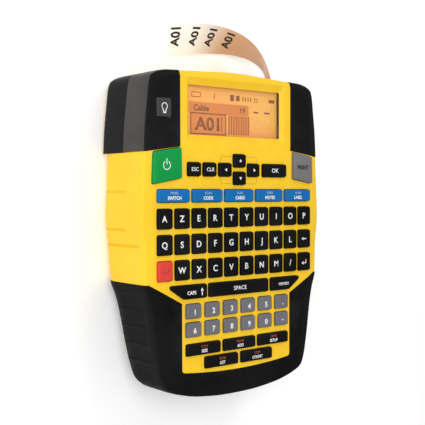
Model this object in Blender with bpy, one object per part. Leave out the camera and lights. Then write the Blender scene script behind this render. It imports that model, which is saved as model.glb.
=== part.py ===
"""Handheld industrial label maker, modelled as an assembly of separate named pieces.

Frame: the label maker lies on its back. The origin is on the flat back face, +Z points out of the
keyboard side, +Y points to the end where the label comes out, and +X to the right of the keyboard.
Sizes below are in millimetres and become metres in one place, in new_piece().
"""

import math

import bmesh
import bpy
from mathutils import Matrix, Vector

MM = 0.001

# ---- driving dimensions, in millimetres -------------------------------------------------------
FACE_Z = 44.0  # thickness at the keyboard face
HALF_WIDTH = 62.9  # widest half width, beside the second letter row
TOP_Y = 87.0
BOTTOM_Y = -88.0
FOLD_Y = -10.0  # the back is flat above this line and slopes towards the face below it
BACK_SLOPE = math.radians(7.0)
WALL = 2.2  # moulded wall thickness
RIM = 3.0  # thickness of both shells where they meet
GAP = 0.35  # clearance around keys and doors
RECESS = 0.8  # depth of the shells' recess under the bumper and the shoulders
SEAM = 0.15  # clearance between those and their recess
PROUD = 0.25  # how far they stand proud of the shells
BUTTON_PROUD = 0.6  # how far the cutter button stands proud

# Half outline of the housing seen from the face, from the top centre clockwise to the bottom.
HALF_OUTLINE = [
    (0.0, TOP_Y),
    (20.0, 86.2),
    (39.0, 85.2),
    (49.0, 84.5),
    (55.0, 82.6),
    (57.8, 79.0),
    (59.3, 68.0),
    (60.6, 56.0),
    (61.3, 43.5),
    (62.1, 29.0),
    (62.8, 16.0),
    (HALF_WIDTH, 6.0),
    (61.8, -4.0),
    (61.3, FOLD_Y),
    (60.9, -23.0),
    (60.4, -27.0),
    (58.4, -33.0),
    (56.8, -40.0),
    (55.7, -47.0),
    (54.4, -57.0),
    (53.0, -66.0),
    (51.5, -73.0),
    (48.9, -79.0),
    (42.0, -82.6),
    (31.0, -85.6),
    (19.0, -87.2),
    (9.0, -87.9),
    (0.0, BOTTOM_Y),
]

# Edge profile of the housing: (inset from the outline, height above the back or below the face).
BACK_PROFILE = [(12.0, 0.0), (7.5, 1.0), (3.9, 3.6), (1.6, 6.6), (0.4, 10.5), (0.0, 14.0)]
SHOULDER_PROFILE = [(12.0, 0.0), (7.5, 1.0), (1.4, 3.0), (0.5, 4.4), (0.1, 6.5), (0.0, 14.0)]
FACE_PROFILE = [(0.0, 7.0), (0.35, 2.2), (0.7, 1.3), (1.5, 0.9), (6.5, 0.0)]
TOP_CHAMFER = 0.5  # the face's chamfer is this much narrower along the top end
PARTING = 2  # index in BACK_PROFILE where the rear shell ends and the front shell begins

# Black shoulders on the top corners, and the grey band across each one's side
SHOULDER_LOW = ((39.3, 45.8), (61.5, 42.6))  # lower edge, from its inner end outwards
BAND_Z = (24.5, 42.6)
BAND_END_X = 45.0  # where the band ends on the top end
BUTTON_INNER_X = 50.6
BUTTON_Y = (45.0, 79.0)
BUTTON_Z = (25.0, 38.6)
BUTTON_TRAVEL = 2.2

# Rubber bumper around the lower part
BUMPER_TOP = -25.0
BUMPER_SIDE = 38.5  # half width of the keypad area that it leaves open
BUMPER_BACK_INSET = 15.0  # how far it reaches round onto the back

# Keys: flange under the face, cap through the face.
KEY_FLANGE = 0.5
KEY_FLANGE_Z = (FACE_Z - 3.7, FACE_Z - 2.6)
DEEP_FLANGE = {"power_button": 1.6, "print_button": 1.6, "light_button": 3.4}  # set lower by this
KEY_TOP = 1.7  # height of a key above the face
KEY_EDGE = 0.5  # bevel around a key's top

LETTER_PITCH = 11.0
LETTER_SIZE = (8.9, 10.1)
LETTER_ROWS_Y = (8.45, -4.95, -18.25)
LETTERS_PER_ROW = 10
DIGIT_PITCH = 12.54
DIGIT_SIZE = (9.4, 7.5)
DIGIT_ROWS_Y = (-40.1, -49.8)
HOT_KEY_PITCH = 22.0
HOT_KEY_SIZE = (19.9, 6.5)
HOT_KEY_Y = 20.2
FUNCTION_SIZE = (22.4, 6.0)
FUNCTION_ROWS = {-60.4: (-24.8, 0.0, 24.8), -68.2: (-12.5, 12.5)}
BOTTOM_ROW_TOP = -26.3
BOTTOM_ROW_END = -33.4

# Display window
WINDOW_TOP = (34.6, 49.6, 82.2)  # half width, lower y and upper y at the face
WINDOW_FLOOR = (32.3, 52.2, 78.4)  # the same at the inner side of the wall
LENS_Z = (FACE_Z - 4.1, FACE_Z - 2.5)

# Print engine, around the label's plane
TAPE_X = 34.0
TAPE_Z = 25.0
TAPE_WIDTH = 19.0
TAPE_THICKNESS = 0.3
LABEL_START_Y = 60.0
LABEL_TWIST_Y = (78.4, 82.2)  # a guide in the housing turns the label to the slanted slot here
TWIST_STEPS = 6
LABEL_EXIT = (37.0, 86.0, 27.0)
SLOT_ANGLE = 0.52  # slant of the slot from the housing's thickness
SLOT_HALF = (1.6, 10.5)
CURL_LENGTH = 79.2
CURL_STEPS = 60
# Turning along the curl in radians over its whole length, as polynomials of the share of its length:
# twist about the label's length, bend about its width, and sideways bend in its plane.
CURL_TWIST = (-2.533, 27.563, -49.905, 24.663)
CURL_BEND = (2.901, 6.533, -14.861, 0.972)
CURL_SIDEWAYS = (-3.403, 25.999, -44.854, 20.29)
ROLLER_RADIUS = 5.0
ROLLER_Y = 69.0
SHAFT_RADIUS = 1.5
GEAR_MODULE = 0.8
ROLLER_TEETH = 20
PINION_TEETH = 10
GEAR_Z = (9.0, 12.0)
PINION_ANGLE = math.radians(-50.0)
CASSETTE_Z = (9.5, 35.3)
ENGINE_TOP_Z = 35.0  # top of the roller and of the motor
HEAD_Z = (15.5, 35.5)
BLADE_Z = (16.0, 35.0)

# Power socket in the right side
SOCKET_CENTRE = (30.0, 22.0)  # y and z
SOCKET_X = 58.9
SOCKET_HALF = 5.0
SOCKET_DEPTH = 10.0

# Doors in the back
CASSETTE_DOOR = (42.0, 3.0, 71.0)  # half width, lower y and upper y
BATTERY_DOOR = (32.0, -57.0, -6.0)  # the same along the sloping part, from the fold

MATERIALS = {}


def material(name, colour, roughness, metallic=0.0):
    """A Principled material, made once for each name."""
    if name not in MATERIALS:
        made = bpy.data.materials.new(name)
        made.use_nodes = True
        shader = made.node_tree.nodes["Principled BSDF"]
        shader.inputs["Base Color"].default_value = (*colour, 1.0)
        shader.inputs["Roughness"].default_value = roughness
        shader.inputs["Metallic"].default_value = metallic
        made.diffuse_color = (*colour, 1.0)
        MATERIALS[name] = made
    return MATERIALS[name]


def yellow():
    return material("yellow_shell", (0.98, 0.60, 0.03), 0.42)


def rubber():
    return material("black_rubber", (0.012, 0.012, 0.013), 0.62)


def black():
    return material("black_plastic", (0.018, 0.018, 0.02), 0.45)


def dark_grey():
    return material("dark_grey_plastic", (0.065, 0.06, 0.062), 0.5)


def key_black():
    return material("key_black", (0.015, 0.015, 0.017), 0.55)


def steel():
    return material("steel", (0.62, 0.62, 0.63), 0.3, 1.0)


# ---- mesh helpers ------------------------------------------------------------------------------
def new_piece(name, build, finish, transform=Matrix.Identity(4), origin=(0.0, 0.0, 0.0)):
    """Fill a mesh with build(bm) in millimetres, scale it to metres and set its origin."""
    bm = bmesh.new()
    build(bm)
    bmesh.ops.transform(bm, matrix=transform, verts=bm.verts)
    bmesh.ops.translate(bm, vec=-Vector(origin), verts=bm.verts)
    bmesh.ops.scale(bm, vec=(MM, MM, MM), verts=bm.verts)
    bmesh.ops.recalc_face_normals(bm, faces=bm.faces)
    mesh = bpy.data.meshes.new(name)
    bm.to_mesh(mesh)
    bm.free()
    piece = bpy.data.objects.new(name, mesh)
    piece.location = Vector(origin) * MM
    bpy.context.scene.collection.objects.link(piece)
    if finish is not None:
        mesh.materials.append(finish)
    return piece


def cutter(name, build, transform=Matrix.Identity(4)):
    """A helper solid for booleans; it isn't part of the model."""
    return as_cutter(new_piece(name, build, None, transform))


def as_cutter(guide):
    guide.hide_render = True
    guide.display_type = "WIRE"
    return guide


def boolean(piece, guide, operation):
    step = piece.modifiers.new(f"{operation.lower()}_{guide.name}", "BOOLEAN")
    step.operation = operation
    step.object = guide
    step.solver = "EXACT"


def smooth(piece, degrees=35.0):
    piece.data.shade_smooth()
    piece.data.set_sharp_from_angle(angle=math.radians(degrees))


def loft(bm, rings, cap_ends=True):
    """Join rings of points with quads; the two end rings are closed with flat faces."""
    rows = [[bm.verts.new(point) for point in ring] for ring in rings]
    for low, high in zip(rows[:-1], rows[1:]):
        for i in range(len(low)):
            j = (i + 1) % len(low)
            bm.faces.new((low[i], low[j], high[j], high[i]))
    if cap_ends:
        cap(bm, rows[0])
        cap(bm, rows[-1])


def cap(bm, row):
    """Close a ring: one flat face, or two that meet at the fold of the back."""
    fold = [i for i, v in enumerate(row) if abs(v.co.y - FOLD_Y) < 1e-4]
    heights = [v.co.z for v in row]
    if len(fold) == 2 and max(heights) - min(heights) > 1e-4:
        a, b = fold
        bm.faces.new(row[a : b + 1])
        bm.faces.new(row[b:] + row[: a + 1])
    else:
        bm.faces.new(row)


def flat_ring(outline, z):
    return [(x, y, z) for x, y in outline]


def prism(bm, outline, low, high):
    loft(bm, [flat_ring(outline, low), flat_ring(outline, high)])


def rectangle(centre, size):
    x, y = centre
    w, h = size[0] / 2, size[1] / 2
    return [(x - w, y - h), (x + w, y - h), (x + w, y + h), (x - w, y + h)]


def box(bm, low, high):
    outline = [(low[0], low[1]), (high[0], low[1]), (high[0], high[1]), (low[0], high[1])]
    prism(bm, outline, low[2], high[2])


def circle(centre, radius, sides=24):
    turn = 2 * math.pi / sides
    return [
        (centre[0] + radius * math.cos(i * turn), centre[1] + radius * math.sin(i * turn))
        for i in range(sides)
    ]


def grown(outline, distance):
    """A convex counter-clockwise outline with every side moved outwards."""
    result = []
    count = len(outline)
    for i in range(count):
        before = Vector(outline[i - 1])
        here = Vector(outline[i])
        after = Vector(outline[(i + 1) % count])
        first = (here - before).normalized()
        second = (after - here).normalized()
        normal_a = Vector((first.y, -first.x))
        normal_b = Vector((second.y, -second.x))
        push = (normal_a + normal_b) / (1.0 + normal_a.dot(normal_b))
        result.append(tuple(here + push * distance))
    return result


# ---- housing -----------------------------------------------------------------------------------
def outline(inset=0.0, top_inset=None):
    """The housing's closed outline, counter-clockwise, drawn in by inset (top_inset above the fold)."""
    right = list(reversed(HALF_OUTLINE))
    left = [(-x, y) for x, y in HALF_OUTLINE[1:-1]]
    shrink_x = 1.0 - inset / HALF_WIDTH
    shrink_down = 1.0 - inset / (FOLD_Y - BOTTOM_Y)
    shrink_up = 1.0 - (inset if top_inset is None else top_inset) / (TOP_Y - FOLD_Y)
    points = []
    for x, y in right + left:
        shrink_y = shrink_up if y > FOLD_Y else shrink_down
        points.append((x * shrink_x, FOLD_Y + (y - FOLD_Y) * shrink_y))
    return points


def back_height(y):
    return max(0.0, (FOLD_Y - y) * math.tan(BACK_SLOPE))


def back_ring(inset, height):
    return [(x, y, back_height(y) + height) for x, y in outline(inset)]


def face_ring(inset, depth, grow=0.0):
    return flat_ring(outline(inset - grow, inset * TOP_CHAMFER - grow), FACE_Z - depth + grow)


def envelope_rings(grow=0.0, start=0, profile=BACK_PROFILE):
    """Rings of the whole housing from the back to the face, moved outwards by grow."""
    back = [back_ring(inset - grow, height - grow) for inset, height in profile[start:-1]]
    back.append(back_ring(-grow, profile[-1][1]))
    front = [flat_ring(outline(-grow), FACE_Z - FACE_PROFILE[0][1])]
    front += [face_ring(inset, depth, grow) for inset, depth in FACE_PROFILE[1:]]
    return back + front


def skin(name, outer, inner, finish=None, profile=BACK_PROFILE):
    """A skin around the whole housing, between two distances from its surface."""
    piece = new_piece(name, lambda bm: loft(bm, envelope_rings(outer, 0, profile)), finish)
    under = cutter(f"cut_under_{name}", lambda bm: loft(bm, envelope_rings(inner)))
    boolean(piece, under, "DIFFERENCE")
    return piece


def recess(name, limit):
    """A tool that sinks the shells under a piece; limit(tool, clearance) sets its area."""
    tool = as_cutter(skin(f"cut_recess_{name}", 3.0, -RECESS))
    limit(tool, SEAM)
    return tool


def front_shell():
    def build(bm):
        outside = envelope_rings(0.0, PARTING)
        inside = envelope_rings(-WALL, PARTING)
        inset, height = BACK_PROFILE[PARTING]
        inside[0] = back_ring(inset + RIM, height)
        loft(bm, list(reversed(inside)) + outside)

    shell = new_piece("front_shell", build, yellow())
    boolean(shell, key_openings(), "DIFFERENCE")
    boolean(shell, cutter("cut_display_window", display_window), "DIFFERENCE")
    boolean(shell, cutter("cut_button_opening", button_opening), "DIFFERENCE")
    boolean(shell, cutter("cut_socket_opening", socket_opening, socket_frame(0.0)), "DIFFERENCE")
    boolean(shell, recess("front_bumper", limit_to_bumper), "DIFFERENCE")
    for side in (-1, 1):
        tool = recess(f"shoulder_{side}", lambda piece, room, s=side: limit_to_shoulder(piece, s, room))
        boolean(shell, tool, "DIFFERENCE")
    boolean(shell, cutter("cut_label_slot", label_slot, slot_frame()), "DIFFERENCE")
    smooth(shell)


def display_window(bm):
    """A hole through the face with sloping sides."""
    half_top, low_top, high_top = WINDOW_TOP
    half, low, high = WINDOW_FLOOR
    over = 0.5
    slope = over / WALL
    outer = [(-half_top, low_top), (half_top, low_top), (half_top, high_top), (-half_top, high_top)]
    inner = [(-half, low), (half, low), (half, high), (-half, high)]
    top = [(a[0] + (a[0] - b[0]) * slope, a[1] + (a[1] - b[1]) * slope) for a, b in zip(outer, inner)]
    base = [(b[0] - (a[0] - b[0]) * slope, b[1] - (a[1] - b[1]) * slope) for a, b in zip(outer, inner)]
    loft(bm, [flat_ring(base, FACE_Z - WALL - over), flat_ring(top, FACE_Z + over)])


def label_slot(bm):
    thickness, width = SLOT_HALF
    box(bm, (-thickness, -6.0, -width), (thickness, 6.0, width))


def slot_frame():
    return Matrix.Translation(LABEL_EXIT) @ Matrix.Rotation(-SLOT_ANGLE, 4, "Y")


def button_opening(bm):
    low = (BUTTON_INNER_X - BUTTON_TRAVEL, BUTTON_Y[0] - GAP, BUTTON_Z[0] - GAP)
    box(bm, low, (80.0, BUTTON_Y[1] + GAP, BUTTON_Z[1] + GAP))


def socket_opening(bm):
    prism(bm, circle((0, 0), 4.2), 57.0, 67.0)


def socket_frame(x):
    """A frame whose Z axis points out of the power socket."""
    return Matrix.Translation((x, *SOCKET_CENTRE)) @ Matrix.Rotation(math.radians(90), 4, "Y")


def rear_shell():
    def build(bm):
        inset, height = BACK_PROFILE[PARTING]
        floor = back_ring(BACK_PROFILE[0][0] + 1.0, WALL)
        rim_in = back_ring(inset + RIM, height - GAP)
        rim_out = back_ring(inset, height - GAP)
        outside = [back_ring(*level) for level in reversed(BACK_PROFILE[:PARTING])]
        loft(bm, [floor, rim_in, rim_out] + outside)

    shell = new_piece("rear_shell", build, yellow())
    boolean(shell, door_opening("cassette", CASSETTE_DOOR, Matrix.Identity(4)), "DIFFERENCE")
    boolean(shell, door_opening("battery", BATTERY_DOOR, slope_frame()), "DIFFERENCE")
    boolean(shell, recess("rear_bumper", limit_to_bumper), "DIFFERENCE")
    smooth(shell)


def door_opening(name, door, frame):
    half, low, high = door
    corners = (-half - GAP, low - GAP, -3.0), (half + GAP, high + GAP, 6.0)
    return cutter(f"cut_{name}_opening", lambda bm: box(bm, *corners), frame)


def slope_frame():
    """From (x, distance from the fold, height) on the sloping back to the object's frame."""
    return Matrix.Translation((0, FOLD_Y, 0)) @ Matrix.Rotation(-BACK_SLOPE, 4, "X")


def face_window():
    """Outline of the keypad area that the bumper leaves open on the face."""
    side = BUMPER_SIDE
    arc = [(x, -74.4 + 0.0016 * x * x) for x in (-34.0, -22.0, -11.0, 0.0, 11.0, 22.0, 34.0)]
    right = [(side - 1.2, -71.6), (side, -70.0), (side, -35.8), (58.7, BUMPER_TOP), (58.7, -20.0)]
    left = [(-x, y) for x, y in reversed(right)]
    return arc + right + left


def back_window(clearance):
    """Outline of the area that the bumper leaves open on the back."""
    inside = [(x, y) for x, y in outline(BUMPER_BACK_INSET + clearance) if y < -20.0]
    right = [point for point in inside if point[0] >= 0]
    left = [point for point in inside if point[0] < 0]
    edge = right[-1][0]
    return right + [(edge, -15.0), (-edge, -15.0)] + left


def limit_to_bumper(piece, clearance):
    """Cut a skin down to the bumper's area, made larger all round by clearance."""
    name = piece.name

    def upper_part(bm):
        box(bm, (-90, BUMPER_TOP + clearance, -20), (90, 120, 80))

    def face_part(bm):
        prism(bm, grown(face_window(), -clearance), FACE_Z - 4.0, FACE_Z + 8.0)

    def back_part(bm):
        prism(bm, back_window(clearance), -20.0, 32.0)

    boolean(piece, cutter(f"cut_upper_{name}", upper_part), "DIFFERENCE")
    boolean(piece, cutter(f"cut_face_{name}", face_part), "DIFFERENCE")
    boolean(piece, cutter(f"cut_back_{name}", back_part), "DIFFERENCE")


def lower_bumper():
    bumper = skin("lower_bumper", PROUD, SEAM - RECESS, rubber())
    limit_to_bumper(bumper, 0.0)
    smooth(bumper)


def limit_to_shoulder(piece, side, clearance):
    """Cut a skin down to a shoulder's area: side is -1 for the left and 1 for the right."""
    (near_x, near_y), (far_x, far_y) = SHOULDER_LOW
    inner = near_x - clearance
    points = [(inner, 100.0), (inner, near_y - clearance), (far_x, far_y - clearance)]
    points += [(80.0, far_y - clearance), (80.0, 100.0)]
    area = [(side * x, y) for x, y in points]
    low = BACK_PROFILE[PARTING][1]
    keep = cutter(f"keep_{piece.name}", lambda bm: prism(bm, area, low, FACE_Z + 10.0))
    boolean(piece, keep, "INTERSECT")


def shoulder(name, side):
    piece = skin(name, PROUD, SEAM - RECESS, black(), SHOULDER_PROFILE)
    limit_to_shoulder(piece, side, 0.0)
    if side < 0:
        boolean(piece, cutter("cut_band", lambda bm: band_area(bm, SEAM)), "DIFFERENCE")
        hole = grown(LIGHT_BUTTON, GAP)
        light = cutter("cut_light_button", lambda bm: prism(bm, hole, FACE_Z - 6, FACE_Z + 8))
        boolean(piece, light, "DIFFERENCE")
    else:
        boolean(piece, cutter("cut_shoulder_button", button_opening), "DIFFERENCE")
        boolean(piece, cutter("cut_shoulder_slot", label_slot, slot_frame()), "DIFFERENCE")
    smooth(piece)


def band_area(bm, clearance):
    """The band's area, made larger by clearance, from the shoulder's lower edge over the top end."""
    low = (-80.0, SHOULDER_LOW[1][1] + 0.3 - 10.0 * clearance, BAND_Z[0] - clearance)
    box(bm, low, (clearance - BAND_END_X, 100.0, BAND_Z[1] + clearance))


def side_grip():
    """The grey band in the left shoulder's side."""
    piece = skin("side_grip_left", PROUD, SEAM - RECESS, dark_grey())
    boolean(piece, cutter("keep_side_grip", lambda bm: band_area(bm, 0.0)), "INTERSECT")
    smooth(piece)


def cutter_button():
    """The button in the right shoulder's side that works the knife."""
    piece = skin("cutter_button", BUTTON_PROUD, -3.0, dark_grey())

    def area(bm):
        box(bm, (BUTTON_INNER_X, BUTTON_Y[0], BUTTON_Z[0]), (80.0, BUTTON_Y[1], BUTTON_Z[1]))

    boolean(piece, cutter("keep_cutter_button", area), "INTERSECT")
    smooth(piece)


# ---- keys --------------------------------------------------------------------------------------
POWER_BUTTON = [(-56.9, 26.3), (-39.1, 29.4), (-39.4, 45.2), (-56.2, 42.6)]
PRINT_BUTTON = [(40.6, 29.7), (55.6, 27.2), (55.2, 42.6), (40.6, 45.0)]
LIGHT_BUTTON = rectangle((-49.7, 65.1), (8.6, 9.6))
CAPS_KEY = [(-37.4, BOTTOM_ROW_END), (-22.8, BOTTOM_ROW_END), (-22.8, BOTTOM_ROW_TOP)]
CAPS_KEY += [(-46.1, BOTTOM_ROW_TOP), (-46.1, -27.6)]
SPACE_KEY = rectangle((0.0, (BOTTOM_ROW_TOP + BOTTOM_ROW_END) / 2), (42.0, 7.1))
FAVOURITES_KEY = [(23.2, BOTTOM_ROW_END), (37.0, BOTTOM_ROW_END), (44.8, -27.9)]
FAVOURITES_KEY += [(44.8, BOTTOM_ROW_TOP), (23.2, BOTTOM_ROW_TOP)]


def key_table():
    """Every key that moves on its own: name -> (outline, finish, height above the face)."""
    grey = material("key_grey", (0.17, 0.17, 0.185), 0.5)
    blue = material("key_blue", (0.0, 0.13, 0.45), 0.45)
    green = material("key_green", (0.0, 0.30, 0.07), 0.45)
    light_grey = material("key_print_grey", (0.2, 0.2, 0.205), 0.5)
    keys = {
        "power_button": (POWER_BUTTON, green, 1.9),
        "print_button": (PRINT_BUTTON, light_grey, 1.9),
        "light_button": (LIGHT_BUTTON, dark_grey(), PROUD + 0.9),
        "caps_key": (CAPS_KEY, key_black(), KEY_TOP),
        "space_key": (SPACE_KEY, key_black(), KEY_TOP),
        "favourites_key": (FAVOURITES_KEY, key_black(), KEY_TOP),
        "escape_key": (rectangle((-30.7, 34.1), (8.2, 7.0)), key_black(), KEY_TOP),
        "clear_key": (rectangle((-20.4, 34.1), (8.4, 7.0)), key_black(), KEY_TOP),
        "left_key": (rectangle((-9.9, 34.1), (8.4, 7.0)), key_black(), KEY_TOP),
        "right_key": (rectangle((10.3, 34.1), (8.0, 7.0)), key_black(), KEY_TOP),
        "ok_key": (rectangle((26.0, 34.1), (17.6, 7.0)), key_black(), KEY_TOP),
        "up_key": (rectangle((0.3, 39.1), (8.2, 6.9)), key_black(), KEY_TOP),
        "down_key": (rectangle((0.3, 29.6), (8.2, 6.9)), key_black(), KEY_TOP),
    }
    for i in range(5):
        centre = ((i - 2) * HOT_KEY_PITCH, HOT_KEY_Y)
        keys[f"hot_key_{i + 1}"] = (rectangle(centre, HOT_KEY_SIZE), blue, KEY_TOP)
    for row, y in enumerate(DIGIT_ROWS_Y):
        for column in range(6):
            centre = ((column - 2.5) * DIGIT_PITCH, y)
            name = f"digit_key_{row * 6 + column + 1:02d}"
            keys[name] = (rectangle(centre, DIGIT_SIZE), grey, KEY_TOP)
    number = 1
    for y, columns in FUNCTION_ROWS.items():
        for x in columns:
            keys[f"function_key_{number}"] = (rectangle((x, y), FUNCTION_SIZE), key_black(), KEY_TOP)
            number += 1
    return keys


def letter_outlines(row):
    y = LETTER_ROWS_Y[row]
    middle = (LETTERS_PER_ROW - 1) / 2
    return [rectangle(((i - middle) * LETTER_PITCH, y), LETTER_SIZE) for i in range(LETTERS_PER_ROW)]


def key_rings(shape, height, deeper):
    """A cap above a wider flange that keeps it behind the face."""
    flange = grown(shape, KEY_FLANGE)
    top = FACE_Z + height
    low, high = KEY_FLANGE_Z[0] - deeper, KEY_FLANGE_Z[1] - deeper
    return [
        flat_ring(flange, low),
        flat_ring(flange, high),
        flat_ring(shape, high),
        flat_ring(shape, top - KEY_EDGE),
        flat_ring(grown(shape, -KEY_EDGE), top),
    ]


def key(name, shape, finish, height):
    x = sum(p[0] for p in shape) / len(shape)
    y = sum(p[1] for p in shape) / len(shape)
    origin = (x, y, FACE_Z)
    rings = key_rings(shape, height, DEEP_FLANGE.get(name, 0.0))
    new_piece(name, lambda bm: loft(bm, rings), finish, origin=origin)


def letter_row(row):
    """A row of letter keys moulded on one rubber strip."""
    y = LETTER_ROWS_Y[row]
    shapes = letter_outlines(row)
    reach = shapes[-1][1][0]

    def strip(bm):
        low, high = KEY_FLANGE_Z
        half = LETTER_SIZE[1] / 2 + KEY_FLANGE
        box(bm, (-reach, y - half, low), (reach, y + half, high))

    def caps(bm):
        top = FACE_Z + KEY_TOP
        for shape in shapes:
            sunk = flat_ring(shape, KEY_FLANGE_Z[1] - 0.5)
            shoulder_ring = flat_ring(shape, top - KEY_EDGE)
            loft(bm, [sunk, shoulder_ring, flat_ring(grown(shape, -KEY_EDGE), top)])

    piece = new_piece(f"letter_row_{row + 1}", strip, key_black())
    boolean(piece, cutter(f"add_letter_caps_{row + 1}", caps), "UNION")
    return piece


def key_openings():
    """One cutter with a straight hole for every key."""
    shapes = [shape for shape, finish, height in key_table().values()]
    for row in range(len(LETTER_ROWS_Y)):
        shapes += letter_outlines(row)

    def holes(bm):
        for shape in shapes:
            prism(bm, grown(shape, GAP), FACE_Z - 6.0, FACE_Z + 4.0)

    return cutter("cut_key_openings", holes)


# ---- display and electronics -------------------------------------------------------------------
def display():
    half, low, high = WINDOW_FLOOR
    clear = material("clear_window", (0.95, 0.62, 0.25), 0.08)
    glass = material("lcd_glass", (0.95, 0.45, 0.1), 0.2)
    lens = rectangle((0, (low + high) / 2), (2 * half + 2.4, high - low + 2.0))
    new_piece("display_lens", lambda bm: prism(bm, lens, *LENS_Z), clear)
    module = (-33.0, 48.5, FACE_Z - 7.2), (33.0, 80.5, LENS_Z[0] - GAP)
    new_piece("lcd_module", lambda bm: box(bm, *module), glass)


def electronics():
    board = material("circuit_board", (0.02, 0.16, 0.06), 0.5)
    battery = material("battery_wrap", (0.03, 0.05, 0.12), 0.5)
    half = [(36, -68), (36, -36), (50, -30), (50, 46)]
    shape = half + [(-x, y) for x, y in reversed(half)]
    new_piece("main_board", lambda bm: prism(bm, shape, FACE_Z - 8.2, FACE_Z - 6.6), board)
    pack = chamfered([(-28, -52), (28, -52), (28, -11), (-28, -11)], 3.0)
    low, high = WALL + 0.5, WALL + 13.5
    new_piece("battery_pack", lambda bm: prism(bm, pack, low, high), battery, slope_frame())
    socket()


def chamfered(shape, cut):
    """An outline with each corner cut off."""
    result = []
    count = len(shape)
    for i in range(count):
        here = Vector(shape[i])
        for other in (Vector(shape[i - 1]), Vector(shape[(i + 1) % count])):
            result.append(tuple(here + (other - here).normalized() * cut))
    return result


def socket():
    """Power socket: a block with a blind round hole and a centre pin, its mouth facing +X."""
    half, depth = SOCKET_HALF, SOCKET_DEPTH
    frame = socket_frame(SOCKET_X)
    corners = (-half, -half, -depth), (half, half, 0.0)
    piece = new_piece("dc_socket", lambda bm: box(bm, *corners), black(), frame)
    hole = cutter("cut_socket_hole", lambda bm: prism(bm, circle((0, 0), 3.15, 16), 0.8 - depth, 2.0), frame)
    boolean(piece, hole, "DIFFERENCE")
    pin = cutter("add_socket_pin", lambda bm: prism(bm, circle((0, 0), 1.0, 8), 0.4 - depth, -1.2), frame)
    boolean(piece, pin, "UNION")


# ---- print engine ------------------------------------------------------------------------------
def gear_outline(teeth, phase):
    """Straight-flanked teeth, with tooth 0 centred on the angle phase."""
    pitch_radius = GEAR_MODULE * teeth / 2
    root, tip = pitch_radius - 1.1 * GEAR_MODULE, pitch_radius + 0.75 * GEAR_MODULE
    step = 2 * math.pi / teeth
    points = []
    for tooth in range(teeth):
        middle = phase + tooth * step
        for turn, radius in ((-0.29, root), (-0.13, tip), (0.13, tip), (0.29, root)):
            angle = middle + turn * step
            points.append((radius * math.cos(angle), radius * math.sin(angle)))
    return points


def gear(name, centre, teeth, phase, bore, finish):
    x, y = centre
    shape = [(x + px, y + py) for px, py in gear_outline(teeth, phase)]
    piece = new_piece(name, lambda bm: prism(bm, shape, *GEAR_Z), finish, origin=(x, y, GEAR_Z[0]))
    hole = cutter(f"cut_bore_{name}", lambda bm: prism(bm, circle(centre, bore, 12), 5.0, 20.0))
    boolean(piece, hole, "DIFFERENCE")


def turned(name, centre, steps, finish, sides=24):
    """A round piece along Z made of (radius, z) steps."""
    rings = [flat_ring(circle(centre, radius, sides), z) for radius, z in steps]
    origin = (centre[0], centre[1], steps[0][1])
    piece = new_piece(name, lambda bm: loft(bm, rings), finish, origin=origin)
    smooth(piece)


def print_engine():
    white = material("gear_white", (0.8, 0.8, 0.76), 0.45)
    roller_rubber = material("roller_rubber", (0.05, 0.05, 0.05), 0.8)
    brass = material("brass", (0.75, 0.55, 0.2), 0.35, 1.0)
    roller_centre = (TAPE_X + TAPE_THICKNESS / 2 + GAP + ROLLER_RADIUS, ROLLER_Y)
    reach = GEAR_MODULE * (ROLLER_TEETH + PINION_TEETH) / 2
    motor_centre = (
        roller_centre[0] + reach * math.cos(PINION_ANGLE),
        roller_centre[1] + reach * math.sin(PINION_ANGLE),
    )
    z0, z1 = GEAR_Z
    shaft, roller = SHAFT_RADIUS, ROLLER_RADIUS
    steps = [(shaft, z0 - 2), (shaft, z1 + 2.5), (roller, z1 + 2.5), (roller, ENGINE_TOP_Z)]
    steps += [(shaft, ENGINE_TOP_Z), (shaft, ENGINE_TOP_Z + 2.0)]
    turned("platen_roller", roller_centre, steps, roller_rubber)
    gear("roller_gear", roller_centre, ROLLER_TEETH, PINION_ANGLE, SHAFT_RADIUS + 0.08, white)
    half_tooth = math.pi / PINION_TEETH
    gear("motor_gear", motor_centre, PINION_TEETH, PINION_ANGLE + math.pi + half_tooth, 0.88, brass)
    motor = [(0.8, z0), (0.8, z1 + 1.2), (6.0, z1 + 1.2), (6.0, ENGINE_TOP_Z)]
    turned("drive_motor", motor_centre, motor, steel())
    head_x = TAPE_X - TAPE_THICKNESS / 2 - GAP
    head = [(head_x - 7.5, 63.0), (head_x, 63.0), (head_x, 75.5), (head_x - 3.0, 75.5), (head_x - 3.0, 71.0)]
    head += [(head_x - 7.5, 71.0)]
    ceramic = material("print_head", (0.35, 0.34, 0.33), 0.4)
    new_piece("print_head", lambda bm: prism(bm, head, *HEAD_Z), ceramic)
    cassette()
    blade()


def cassette():
    shape = [(-38, 7), (40, 7), (40, 59.5), (24, 59.5), (24, 70), (-38, 70)]
    grey = material("cassette_grey", (0.32, 0.33, 0.34), 0.4)
    new_piece("label_cassette", lambda bm: prism(bm, shape, *CASSETTE_Z), grey)


def blade():
    """Knife carriage: the knife's edge is beside the label and its foot reaches the cutter button."""
    shape = [(37.0, 76.6), (47.4, 76.6), (47.4, 68.0), (55.6, 68.0), (55.6, 71.0), (49.8, 71.0)]
    shape += [(49.8, 78.2), (38.6, 78.2)]
    new_piece("cutter_blade", lambda bm: prism(bm, shape, *BLADE_Z), steel())


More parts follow.
